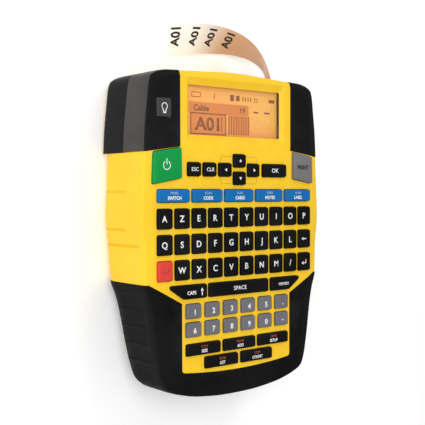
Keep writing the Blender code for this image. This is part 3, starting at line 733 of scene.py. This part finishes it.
def face_window():
    """Outline of the keypad area that the bumper leaves open on the face."""
    side = BUMPER_SIDE
    arc = [(x, -74.4 + 0.0016 * x * x) for x in range(-34, 35, 4)]
    steps = 5
    bend = rounded([(34.0, -72.6), (side, -71.9), (side, -60.0)], 1.8, steps)
    corner = bend[steps + 1 : 2 * steps + 2]  # the points of the middle corner alone
    right = corner + [(side, -35.8), (58.7, BUMPER_TOP), (58.7, -20.0)]
    left = [(-x, y) for x, y in reversed(right)]
    return arc + right + left


def back_window(clearance):
    """Outline of the area that the bumper leaves open on the back."""
    inside = [(x, y) for x, y in outline(BUMPER_BACK_INSET + clearance) if y < -20.0]
    right = sorted((p for p in inside if p[0] >= 0), key=lambda p: p[1])
    left = sorted((p for p in inside if p[0] < 0), key=lambda p: -p[1])
    edge = right[-1][0]
    return right + [(edge, -15.0), (-edge, -15.0)] + left


def limit_to_bumper(target, clearance):
    """Cut a skin down to the bumper's area, made larger all round by clearance."""
    cut(target, lambda bm: box(bm, (-90, BUMPER_TOP + clearance, -20), (90, 120, 80)))
    cut(target, lambda bm: prism(bm, grown(face_window(), -clearance), FACE_Z - 4.0, FACE_Z + 8.0))
    cut(target, lambda bm: prism(bm, back_window(clearance), -20.0, 32.0))


def bumper():
    made = skin("bumper", PROUD, SEAM - RECESS, RUBBER, bumper_relief)
    limit_to_bumper(made, 0.0)
    stand_for(made, "root", "lower_bumper")


def limit_to_shoulder(target, side, clearance):
    """Cut a skin down to a shoulder's area: side is -1 for the left and 1 for the right."""
    (near_x, near_y), (far_x, far_y) = SHOULDER_LOW
    inner = near_x - clearance
    points = [(inner, 100.0), (inner, near_y - clearance), (far_x, far_y - clearance)]
    points += [(80.0, far_y - clearance), (80.0, 100.0)]
    area = [(side * x, y) for x, y in points]
    low = BACK_PROFILE[PARTING][1]
    cut(target, lambda bm: prism(bm, area, low, FACE_Z + 10.0), "INTERSECT")


def shoulder(side, word):
    made = skin(f"shoulder_{word}_cover", PROUD, SEAM - RECESS, BLACK, profile=SHOULDER_PROFILE)
    limit_to_shoulder(made, side, 0.0)
    if side < 0:
        cut(made, lambda bm: band_area(bm, SEAM))
        shape = rounded(grown(key_outlines()["light_button"], GAP), KEY_CORNER, 3)
        cut(made, lambda bm: prism(bm, shape, FACE_Z - 6.0, FACE_Z + 9.0))
    else:
        cut(made, button_opening)
        cut(made, lambda bm: moved(bm, slot_frame(), label_slot))
    stand_for(made, "root", f"shoulder_{word}")


def band_area(bm, clearance):
    """The grey band's area, from the shoulder's lower edge over the top end."""
    low = (-80.0, SHOULDER_LOW[1][1] + 0.3 - 10.0 * clearance, BAND_Z[0] - clearance)
    box(bm, low, (clearance - BAND_END_X, 100.0, BAND_Z[1] + clearance))


def side_grip():
    """The grey band in the left shoulder's side."""
    made = skin("side_grip", PROUD, SEAM - RECESS, GREY_BAND)
    cut(made, lambda bm: band_area(bm, 0.0), "INTERSECT")
    stand_for(made, "root", "side_grip_left")


def cutter_button():
    """The button in the right shoulder's side that works the knife."""
    made = skin("cutter_button_cap", BUTTON_PROUD, -3.0, GREY_BAND)

    def area(bm):
        box(bm, (BUTTON_INNER_X, BUTTON_Y[0], BUTTON_Z[0]), (80.0, BUTTON_Y[1], BUTTON_Z[1]))

    cut(made, area, "INTERSECT")
    round_edges(made, 0.5)
    stand_for(made, "cutter", "cutter_button")


# ---- keys ----
KEY_EDGE = 0.55  # height of a cap's rounded edge


def key_cap(bm, shape, base, top, dish=0.12):
    """A moulded key: slight draft, rounded shoulders and a faintly dished top."""
    rings = [flat(rounded(grown(shape, 0.05), KEY_CORNER), base)]
    for inset, drop in ((0.0, 1.0), (0.08, 0.55), (0.28, 0.2), (0.62, 0.0)):
        rings.append(flat(rounded(grown(shape, -inset), KEY_CORNER), top - KEY_EDGE * drop))
    narrow = min(max(p[axis] for p in shape) - min(p[axis] for p in shape) for axis in (0, 1))
    for share in (0.16, 0.27) if dish else ():
        corner = KEY_CORNER * (1 - share)
        rings.append(flat(rounded(grown(shape, -narrow * share), corner), top - dish * share * 3))
    loft(bm, rings)


KEY_LOOKS = {
    "digit_key": (KEY_GREY, "key_grey"),
    "hot_key": (KEY_BLUE, "key_blue"),
    "power_button": (KEY_GREEN, "key_green"),
    "print_button": (KEY_PRINT, "key_print_grey"),
    "light_button": (GREY_BAND, "dark_grey_plastic"),
}


def look_of(name):
    """Finish and slot of a key's cap; the other keys are black."""
    found = [look for start, look in KEY_LOOKS.items() if name.startswith(start)]
    return found[0] if found else (KEY_BLACK, "key_black")


def all_keys():
    for name, shape in key_outlines().items():
        low, high = (corner.z for corner in box_of(name))
        finish, slot_name = look_of(name)
        dish = 0.0 if name in SHAPED_KEYS else 0.12

        def cap(bm, shape=shape, low=low, high=high, dish=dish):
            key_cap(bm, shape, low, high, dish=dish)

        piece(f"{name}_cap", cap, finish, name, name, 50.0)
    for row in range(3):
        letter_row(row)


def letter_row(row):
    """A row's rubber strip and its ten caps."""
    name = f"letter_row_{row + 1}"
    low, high = box_of(name)
    strip_shape = rounded(corners_of(low, high), 1.5)
    web_top = FACE_Z - 2.6

    def web(bm):
        prism(bm, strip_shape, low.z, web_top)

    piece(f"{name}_web", web, KEY_BLACK, name, name)
    for column, centre in enumerate(letter_centres(row)):
        finish = KEY_RED if (row, column) == (2, 0) else KEY_BLACK
        shape = rectangle(centre, LETTER_SIZE)

        def cap(bm, shape=shape):
            key_cap(bm, shape, web_top + 0.1, high.z)

        piece(f"{name}_cap_{column + 1:02d}", cap, finish, name, None, 50.0)


# ---- print on the surfaces ----
FONT_CAPS = {}  # lower and upper edge of the letter H, for each boldness
PRINT_THICK = 0.05


def text_mesh(text, bold):
    """Flat filled letters as a mesh, one font unit high, with their outlines slightly fattened."""
    curve = bpy.data.curves.new("letters", "FONT")
    curve.body = text
    curve.offset = bold
    curve.resolution_u = 4
    curve.align_x = "CENTER"
    holder = placed("letters", curve)
    graph = bpy.context.evaluated_depsgraph_get()
    graph.update()
    mesh = bpy.data.meshes.new_from_object(holder.evaluated_get(graph))
    bpy.data.objects.remove(holder, do_unlink=True)
    bpy.data.curves.remove(curve)
    return mesh


def extent(mesh, axis):
    values = [v.co[axis] for v in mesh.vertices]
    return min(values), max(values)


def add_text(bm, text, centre, height, z, bold, widen=1.0, turn=0.0):
    """Raised letters of a given capital height, centred on a point."""
    if bold not in FONT_CAPS:
        FONT_CAPS[bold] = extent(text_mesh("H", bold), 1)
    base, cap = FONT_CAPS[bold]
    mesh = text_mesh(text, bold)
    left, right = extent(mesh, 0)
    scale = height / (cap - base)
    middle = Vector(((left + right) / 2, (base + cap) / 2, 0.0))
    matrix = (
        Matrix.Translation((centre[0], centre[1], z))
        @ Matrix.Rotation(turn, 4, "Z")
        @ Matrix.Diagonal((scale * widen, scale, 1.0, 1.0))
        @ Matrix.Translation(-middle)
    )
    raise_print(bm, moved(bm, matrix, lambda target: target.from_mesh(mesh)))
    bpy.data.meshes.remove(mesh)


def raise_print(bm, verts):
    """Give flat print a small thickness, so that it is a closed solid."""
    faces = {f for v in verts for f in v.link_faces}
    bmesh.ops.remove_doubles(bm, verts=verts, dist=1e-5)
    faces = [f for f in faces if f.is_valid]
    grown_part = bmesh.ops.extrude_face_region(bm, geom=faces)
    top = [e for e in grown_part["geom"] if isinstance(e, bmesh.types.BMVert)]
    bmesh.ops.translate(bm, vec=(0, 0, PRINT_THICK), verts=top)


def add_shape(bm, points, z, thick=PRINT_THICK):
    prism(bm, points, z, z + thick)


def add_arc(bm, centre, radius, width, start, end, z):
    """A flat ring segment between two angles in degrees."""
    steps = 28
    top = z + PRINT_THICK
    rows = []
    for k in range(steps + 1):
        angle = math.radians(start + (end - start) * k / steps)
        reach = Vector((math.cos(angle), math.sin(angle)))
        a = tuple(Vector(centre) + reach * (radius + width / 2))
        b = tuple(Vector(centre) + reach * (radius - width / 2))
        rows.append([(*a, z), (*b, z), (*b, top), (*a, top)])
    loft(bm, rows)


def add_arrow(bm, centre, direction, size, z):
    """A small filled triangle pointing along direction."""
    d = Vector(direction).normalized()
    side = Vector((-d.y, d.x))
    middle = Vector(centre)
    points = [middle + d * size * 0.6, middle - d * size * 0.4 + side * size * 0.55]
    points.append(middle - d * size * 0.4 - side * size * 0.55)
    add_shape(bm, [tuple(p) for p in points], z)


def add_line(bm, first, second, width, z):
    a, b = Vector(first), Vector(second)
    side = (b - a).normalized() * (width / 2)
    side = Vector((-side.y, side.x))
    add_shape(bm, [tuple(p) for p in (a - side, b - side, b + side, a + side)], z)


def legend(name, body, build, ink=WHITE_INK):
    piece(name, build, ink, body, smooth_angle=None)


def middle_of(shape):
    xs = [p[0] for p in shape]
    ys = [p[1] for p in shape]
    return ((min(xs) + max(xs)) / 2, (min(ys) + max(ys)) / 2)


LETTER_SHIFT = 0.8  # the letters sit this much left of their keys' centres


def letter_legends():
    for row, letters in enumerate(LETTER_ROWS):
        name = f"letter_row_{row + 1}"
        top = top_of(name) - 0.08

        def build(bm, letters=letters, row=row, top=top):
            for letter, (x, y) in zip(letters, letter_centres(row)):
                x -= LETTER_SHIFT
                if letter == "<":
                    add_arrow(bm, (x - 1.0, y), (-1, 0), 1.8, top)
                    add_line(bm, (x - 0.8, y), (x + 1.7, y), 0.55, top)
                elif letter == "^":
                    add_arrow(bm, (x - 1.0, y - 0.8), (-1, 0), 1.8, top)
                    add_line(bm, (x - 0.8, y - 0.8), (x + 1.7, y - 0.8), 0.5, top)
                    add_line(bm, (x + 1.45, y - 0.8), (x + 1.45, y + 1.3), 0.5, top)
                elif letter != " ":
                    add_text(bm, letter, (x, y), 3.4, top, 0.025, 0.98)

        legend(f"{name}_letters", name, build)
    word("letter_row_3", "ALT", letter_centres(2)[0], 2.0, 0.02, 1.0, RED_INK, "alt_key_word", 0.08)


def word(key, text, centre, height, bold, widen=1.0, ink=WHITE_INK, name=None, sink=0.07):
    """Print on a key; it starts sink below the key's highest point, because the top is dished."""
    z = top_of(key) - sink
    name = name or f"{key}_word"
    legend(name, key, lambda bm: add_text(bm, text, centre, height, z, bold, widen), ink)


KEY_WORDS = {"escape_key": ("ESC", 2.0), "clear_key": ("CLR", 2.0), "ok_key": ("OK", 2.4)}
KEY_WORDS["space_key"] = ("SPACE", 2.2)
ARROW_KEYS = {"left_key": (-1, 0), "right_key": (1, 0), "up_key": (0, 1), "down_key": (0, -1)}
FUNCTION_WORDS = "STYLE SIZE FRAME ADD UNITS SETUP SIGNS LIST COPY COUNT"
HOT_WORDS = "PANEL SWITCH SCAN CODE FLAG CABLE FIXED NOTES PLAIN LABEL"
# Keys with two lines: words, then y from the middle, height, boldness, width and ink of each line.
LOWER_LOOK = (-1.0, 1.7, 0.03, 0.92, WHITE_INK)
UPPER_LOOK = (1.35, 1.3, 0.02, 0.92, RED_INK)
HOT_LOWER = (-1.15, 1.9, 0.04, 0.92, WHITE_INK)
HOT_UPPER = (1.5, 1.35, 0.02, 0.95, PALE_INK)


def key_legends():
    middles = {name: middle_of(shape) for name, shape in key_outlines().items()}
    for name, (text, height) in KEY_WORDS.items():
        word(name, text, middles[name], height, 0.015, 1.05)
    for name, direction in ARROW_KEYS.items():
        z = top_of(name) - 0.07

        def arrow(bm, centre=middles[name], direction=direction, z=z):
            add_arrow(bm, centre, direction, 1.6, z)

        legend(f"{name}_arrow", name, arrow)
    for i, digit in enumerate("12345.67890-"):
        name = f"digit_key_{i + 1:02d}"
        x, y = middles[name]
        low = 0.2 if digit in ".-" else 0.5
        word(name, digit, (x + 0.3, y - low), 3.0, 0.035, name=f"{name}_figure", sink=0.08)
    caps_legend()
    word("favourites_key", "MEMORY", (32.6, -30.0), 1.6, 0.03, 0.9, sink=0.02)
    two_lines("function_key", FUNCTION_WORDS, LOWER_LOOK, UPPER_LOOK, middles)
    two_lines("hot_key", HOT_WORDS, HOT_LOWER, HOT_UPPER, middles)


def two_lines(kind, text, lower, upper, middles):
    """Two words on each of five keys, which stand in text as upper, lower, upper and so on."""
    words = text.split()
    for i in range(5):
        key = f"{kind}_{i + 1}"
        x, y = middles[key]
        for ending, said, look in (("word", words[2 * i + 1], lower), ("second_word", words[2 * i], upper)):
            rise, height, bold, widen, ink = look
            word(key, said, (x, y + rise), height, bold, widen, ink, f"{key}_{ending}")


def caps_legend():
    z = top_of("caps_key") - 0.02

    def build(bm):
        add_text(bm, "CAPS", (-33.2, -30.3), 2.0, z, 0.03, 0.92)
        add_arrow(bm, (-26.4, -28.9), (0, 1), 1.8, z)
        add_line(bm, (-26.4, -31.9), (-26.4, -29.2), 0.6, z)

    legend("caps_key_word", "caps_key", build)


def power_symbol():
    z = top_of("power_button") - 0.03
    centre = (-49.0, 35.8)

    def build(bm):
        add_arc(bm, centre, 2.15, 0.42, 118, 422, z)
        add_line(bm, (centre[0], centre[1] + 0.4), (centre[0], centre[1] + 3.5), 0.46, z)

    legend("power_symbol", "power_button", build)
    word("print_button", "PRINT", (47.6, 36.3), 2.5, 0.045, 1.0, BLACK_INK, "print_word", 0.03)


def light_symbol():
    z = top_of("light_button") - 0.07
    x, y = middle_of(key_outlines()["light_button"])

    def build(bm):
        add_arc(bm, (x, y + 0.6), 1.65, 0.42, -50, 230, z)
        add_line(bm, (x - 1.1, y - 0.7), (x - 0.75, y - 1.9), 0.5, z)
        add_line(bm, (x + 1.1, y - 0.7), (x + 0.75, y - 1.9), 0.5, z)
        add_shape(bm, rectangle((x, y - 2.5), (1.7, 0.9)), z)

    legend("light_symbol", "light_button", build)


def arrow_frame():
    """The faint line printed on the housing around the four arrow keys."""
    z = FACE_Z - 0.02
    corners = [(-12.6, 26.6), (13.3, 26.6), (13.3, 41.4), (-12.6, 41.4)]

    def build(bm):
        border(bm, rounded(grown(corners, 0.12), 1.8), rounded(grown(corners, -0.12), 1.6), z, 0.04)

    legend("arrow_frame_line", "root", build, LINE_INK)


def border(bm, outer, inner, z, thick):
    """A closed flat band between two outlines of as many points."""
    rows = []
    for a, b in zip(outer, inner):
        row = [(*a, z), (*b, z), (*b, z + thick), (*a, z + thick)]
        rows.append([bm.verts.new(point) for point in row])
    for here, after in zip(rows, rows[1:] + rows[:1]):
        for k in range(4):
            m = (k + 1) % 4
            bm.faces.new((here[k], after[k], after[m], here[m]))


# ---- display ----
def pane(name, node_name, finish, radius, inset, drop):
    """A flat plate that fills a node's box, with a bevelled upper edge."""
    low, high = box_of(node_name)
    corners = corners_of(low, high)
    outer, inner = rounded(corners, radius), rounded(grown(corners, -inset), radius - 0.2)

    def build(bm):
        loft(bm, [flat(outer, low.z), flat(outer, high.z - drop), flat(inner, high.z)])

    piece(name, build, finish, "root", node_name)


def display():
    pane("amber_display", "lcd_module", DISPLAY, 1.0, 0.6, 0.4)
    pane("window_pane", "display_lens", CLEAR, 1.2, 0.4, 0.3)
    display_marks(top_of("lcd_module") - 0.02)


MARKS_SHIFT = 2.2
MARK_THICK = 0.03
SHADES = [((-11.6, 67.0), (41.5, 6.0)), ((2.0, 58.6), (15.6, 10.6)), ((-19.3, 58.6), (24.0, 10.6))]
BLOCKS = [((14.4, 66.6), (3.4, 1.0)), ((23.0, 66.6), (4.2, 1.0)), ((-2.8, 73.6), (2.8, 3.4))]
BLOCKS += [((1.3, 73.6), (2.6, 3.0)), ((26.4, 73.4), (4.4, 1.9))]
# centre, size and line width of the frames; x, lower y, upper y and width of the upright lines
FRAMES = [((-19.3, 58.6), (24.6, 11.6), 0.7), ((-27.6, 73.9), (6.2, 2.8), 0.4)]
FRAMES += [((14.6, 73.3), (2.6, 2.2), 0.35)]
UPRIGHTS = [(-10.2, 54.6, 62.8, 0.5), (-15.2, 72.4, 75.2, 0.5)]
UPRIGHTS += [(-5.0 + i * 1.75, 53.5, 63.7, 0.45) for i in range(9)]
UPRIGHTS += [(5.0 + i * 1.9, 72.2, 74.6, 0.7) for i in range(4)]


def display_marks(z):
    """What the display shows: a status row, a line of text, a framed sample and a shaded block."""

    def shift(bm):
        bmesh.ops.translate(bm, vec=(MARKS_SHIFT, 0.0, 0.0), verts=bm.verts)

    def shades(bm):
        for centre, size in SHADES:
            add_shape(bm, rectangle(centre, size), z, MARK_THICK)
        shift(bm)

    def marks(bm):
        over = z + MARK_THICK
        add_text(bm, "A01", (-20.3, 58.6), 7.0, over, 0.03, 1.15)
        add_text(bm, "Cable", (-24.2, 67.0), 3.3, over, 0.035, 1.0)
        add_text(bm, "19", (4.8, 67.0), 2.8, over, 0.02, 1.2)
        for centre, size in BLOCKS:
            add_shape(bm, rectangle(centre, size), over, MARK_THICK)
        for centre, size, width in FRAMES:
            add_frame(bm, centre, size, width, over)
        for x, low, high, width in UPRIGHTS:
            add_line(bm, (x, low), (x, high), width, over)
        shift(bm)

    legend("display_shades", "root", shades, SOFT_PIXEL)
    legend("display_marks", "root", marks, PIXEL_INK)


def add_frame(bm, centre, size, width, z):
    """A thin rectangle outline."""
    inner = rectangle(centre, (size[0] - 2 * width, size[1] - 2 * width))
    border(bm, rectangle(centre, size), inner, z, MARK_THICK)


# ---- label ----
LABEL_START_Y = 60.0
LABEL_TWIST_Y = (78.4, 82.2)
CURL_LENGTH = 79.2
CURL_STEPS = 120
# Turning along the curl in radians over its whole length, as polynomials of the share of its length.
CURL_TWIST = (-2.533, 27.563, -49.905, 24.663)
CURL_BEND = (2.901, 6.533, -14.861, 0.972)
CURL_SIDEWAYS = (-3.403, 25.999, -44.854, 20.29)


def polynomial(factors, value):
    return sum(factor * value**power for power, factor in enumerate(factors))


def label_frames():
    """(distance, place, across, normal) along the label, from inside the housing to its free end."""
    along = Vector((0, 1, 0))
    across = Vector((0, 0, 1))
    normal = Vector((1, 0, 0))
    exit_place = Vector(LABEL_EXIT)
    frames = []
    for y in (LABEL_START_Y, LABEL_TWIST_Y[0]):
        frames.append((y - exit_place.y, Vector((TAPE_X, y, TAPE_Z)), across, normal))
    slant = Matrix.Rotation(-SLOT_ANGLE, 3, "Y")
    across = slant @ across
    normal = slant @ normal
    for y in (LABEL_TWIST_Y[1], exit_place.y):
        place = Vector((exit_place.x, y, exit_place.z))
        frames.append((y - exit_place.y, place, across, normal))
    place = exit_place
    step = 1.0 / CURL_STEPS
    for i in range(CURL_STEPS):
        share = (i + 0.5) * step
        turn = along * polynomial(CURL_TWIST, share)
        turn += across * polynomial(CURL_BEND, share)
        turn += normal * polynomial(CURL_SIDEWAYS, share)
        place = place + along * (CURL_LENGTH * step)
        rotation = Matrix.Rotation(turn.length * step, 3, turn.normalized())
        along = rotation @ along
        across = rotation @ across
        normal = rotation @ normal
        frames.append(((i + 1) * step * CURL_LENGTH, place, across, normal))
    return frames


def on_label(frames, distance, side, lift):
    """A point on the label: distance from the exit, offset across its width, height off its middle."""
    for (d0, p0, a0, n0), (d1, p1, a1, n1) in zip(frames[:-1], frames[1:]):
        if distance <= d1 or d1 == frames[-1][0]:
            t = (distance - d0) / (d1 - d0)
            return p0.lerp(p1, t) + a0.lerp(a1, t) * side + n0.lerp(n1, t) * lift


LABEL_PRINTS = 4
PRINT_PITCH = 12.3
PRINT_START = 4.3
PRINT_HEIGHT = 5.2
PRINT_SIDE = 1.2


def label():
    frames = label_frames()
    thick = 0.09
    lanes = 8

    def build(bm):
        sides = [-TAPE_WIDTH / 2 + TAPE_WIDTH * k / lanes for k in range(lanes + 1)]
        rows = []
        for _, place, across, normal in frames:
            ring = [tuple(place + across * side - normal * thick) for side in sides]
            ring += [tuple(place + across * side + normal * thick) for side in reversed(sides)]
            rows.append(ring)
        loft(bm, rows)

    piece("printed_label", build, LABEL, "root", "label_tape", 60.0)

    def prints(bm):
        for i in range(LABEL_PRINTS):
            place = (PRINT_START + i * PRINT_PITCH, PRINT_SIDE)
            add_text(bm, "A01", place, PRINT_HEIGHT, 0.0, 0.035, 1.12, math.pi / 2)
        bmesh.ops.subdivide_edges(bm, edges=bm.edges, cuts=1)
        for v in bm.verts:
            lift = -thick - 0.01 - v.co.z
            v.co = on_label(frames, CURL_LENGTH - v.co.x, v.co.y, lift)

    legend("label_print", "root", prints, BLACK_INK)


# ---- doors and inner parts ----
def door(name, edges, placing, finish, grooves):
    """A door plate with rounded corners, a softened outer edge and thumb grooves (y, half width)."""
    shape = span(*edges)

    def plate(bm):
        levels = ((0.5, 0.0), (0.12, 0.14), (0.0, 0.5), (0.0, WALL))
        loft(bm, [flat(rounded(grown(shape, -inset), 2.65, 5), z) for inset, z in levels])

    def thumb_grooves(bm):
        for y, half_width in grooves:
            prism(bm, rounded(rectangle((0.0, y), (2 * half_width, 1.1)), 0.5, 3), -1.0, 0.6)

    made = piece(f"{name}_panel", lambda bm: moved(bm, placing, plate), finish, name, name)
    cut(made, lambda bm: moved(bm, placing, thumb_grooves))
    shade(made)


def doors():
    low = CASSETTE_DOOR[1]
    fan = [(low + 5.0 + i * 2.4, 15.0 - abs(i - 2.5) * 1.6) for i in range(6)]
    door("cassette_door", CASSETTE_DOOR, Matrix.Identity(4), YELLOW, fan)
    high = BATTERY_DOOR[2]
    rows = [(high - 5.0 - i * 2.4, 12.0) for i in range(5)]
    door("battery_door", BATTERY_DOOR, slope_frame(), BLACK, rows)


def inner_parts():
    looks = {
        "main_board": BOARD,
        "print_head": CERAMIC,
        "platen_roller": ROLLER,
        "drive_motor": STEEL,
        "motor_gear": BRASS,
        "roller_gear": ACETAL,
        "cutter_blade": KNIFE,
        "dc_socket": BLACK,
    }
    for name, finish in looks.items():
        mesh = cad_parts[name].data
        mesh.materials.clear()
        mesh.materials.append(finish)
    cassette()
    battery()


def cassette():
    low, high = box_of("label_cassette")
    shape = [(-38, 7), (40, 7), (40, 59.5), (24, 59.5), (24, 70), (-38, 70)]
    corners = rounded(shape, 2.0, 4)

    def block(bm):
        prism(bm, corners, low.z, high.z)

    case = piece("cassette_case", block, CASSETTE, "root", "label_cassette")

    def spools(bm):
        for centre, radius in (((-14.0, 38.0), 19.0), ((22.0, 30.0), 7.5)):
            prism(bm, circle(centre, radius, 48), low.z - 2.0, low.z + 1.2)
        for centre, radius in (((-14.0, 38.0), 6.0), ((22.0, 30.0), 3.4)):
            prism(bm, circle(centre, radius, 6), low.z - 2.0, low.z + 6.0)

    cut(case, spools)
    round_edges(case, 0.5)
    shade(case)


def battery():
    low, high = WALL + 0.5, WALL + 13.5
    corners = span(28, -52, -11)

    def pack(bm):
        levels = ((0.6, low), (0.0, low + 0.6), (0.0, high - 0.6), (0.6, high))
        loft(bm, [flat(rounded(grown(corners, -inset), 4.0, 5), z) for inset, z in levels])

    def sloped(bm):
        moved(bm, slope_frame(), pack)

    piece("battery_pack_wrap", sloped, WRAP, "root", "battery_pack")


# ---- surroundings ----
CAMERA_PLACE = (-0.29511, 0.02194, 0.34648 + 0.044)
CAMERA_AIM = (0.62437, -0.02400, -0.78076)
CAMERA_UP = (0.01673, 0.99971, -0.01735)
CAMERA_LENS = 70.69


FLOOR_Z = -0.0003
LIGHT_AIM = (0, 0, 0.02)


def camera():
    data = bpy.data.cameras.new("camera")
    data.lens = CAMERA_LENS
    data.sensor_width = 36.0
    data.clip_start = 0.01
    data.clip_end = 50.0
    made = placed("camera", data)
    back = -Vector(CAMERA_AIM).normalized()
    right = Vector(CAMERA_UP).cross(back).normalized()
    up = back.cross(right)
    made.matrix_world = Matrix.Translation(CAMERA_PLACE) @ Matrix((right, up, back)).transposed().to_4x4()
    bpy.context.scene.camera = made


def area_light(name, place, size, power):
    """A round white light that points at the object."""
    data = bpy.data.lights.new(name, "AREA")
    data.shape = "DISK"
    data.size = size
    data.energy = power
    made = placed(name, data)
    made.location = place
    made.rotation_mode = "QUATERNION"
    made.rotation_quaternion = (Vector(LIGHT_AIM) - Vector(place)).to_track_quat("-Z", "Y")


def studio():
    scene = bpy.context.scene
    scene.view_settings.view_transform = "Standard"
    floor_mesh = bpy.data.meshes.new("floor")
    bm = bmesh.new()
    bmesh.ops.create_grid(bm, x_segments=1, y_segments=1, size=15.0)
    bm.to_mesh(floor_mesh)
    bm.free()
    floor = placed("floor", floor_mesh)
    floor.location.z = FLOOR_Z
    paint = surface("floor_paint", (0.97, 0.97, 0.97), 0.9, grain=300.0, bump=0.02, mottle=0.01)
    tree = paint.node_tree
    white = (1.0, 1.0, 1.0, 1.0)
    fill(tree, tree.nodes["Principled BSDF"], Emission_Color=white, Emission_Strength=0.14)
    floor_mesh.materials.append(paint)
    world = bpy.data.worlds.new("studio")
    world.use_nodes = True
    fill(world.node_tree, world.node_tree.nodes["Background"], Color=white, Strength=0.5)
    scene.world = world
    area_light("key_light", (-0.55, 0.15, 0.95), 0.7, 6.0)
    area_light("side_light", (-0.9, -0.3, 0.35), 0.5, 1.1)
    area_light("top_light", (0.3, 0.8, 0.7), 0.6, 2.2)


camera()
studio()
front_housing()
rear_housing()
bumper()
shoulder(-1, "left")
shoulder(1, "right")
side_grip()
cutter_button()
all_keys()
letter_legends()
key_legends()
power_symbol()
light_symbol()
arrow_frame()
display()
label()
doors()
inner_parts()
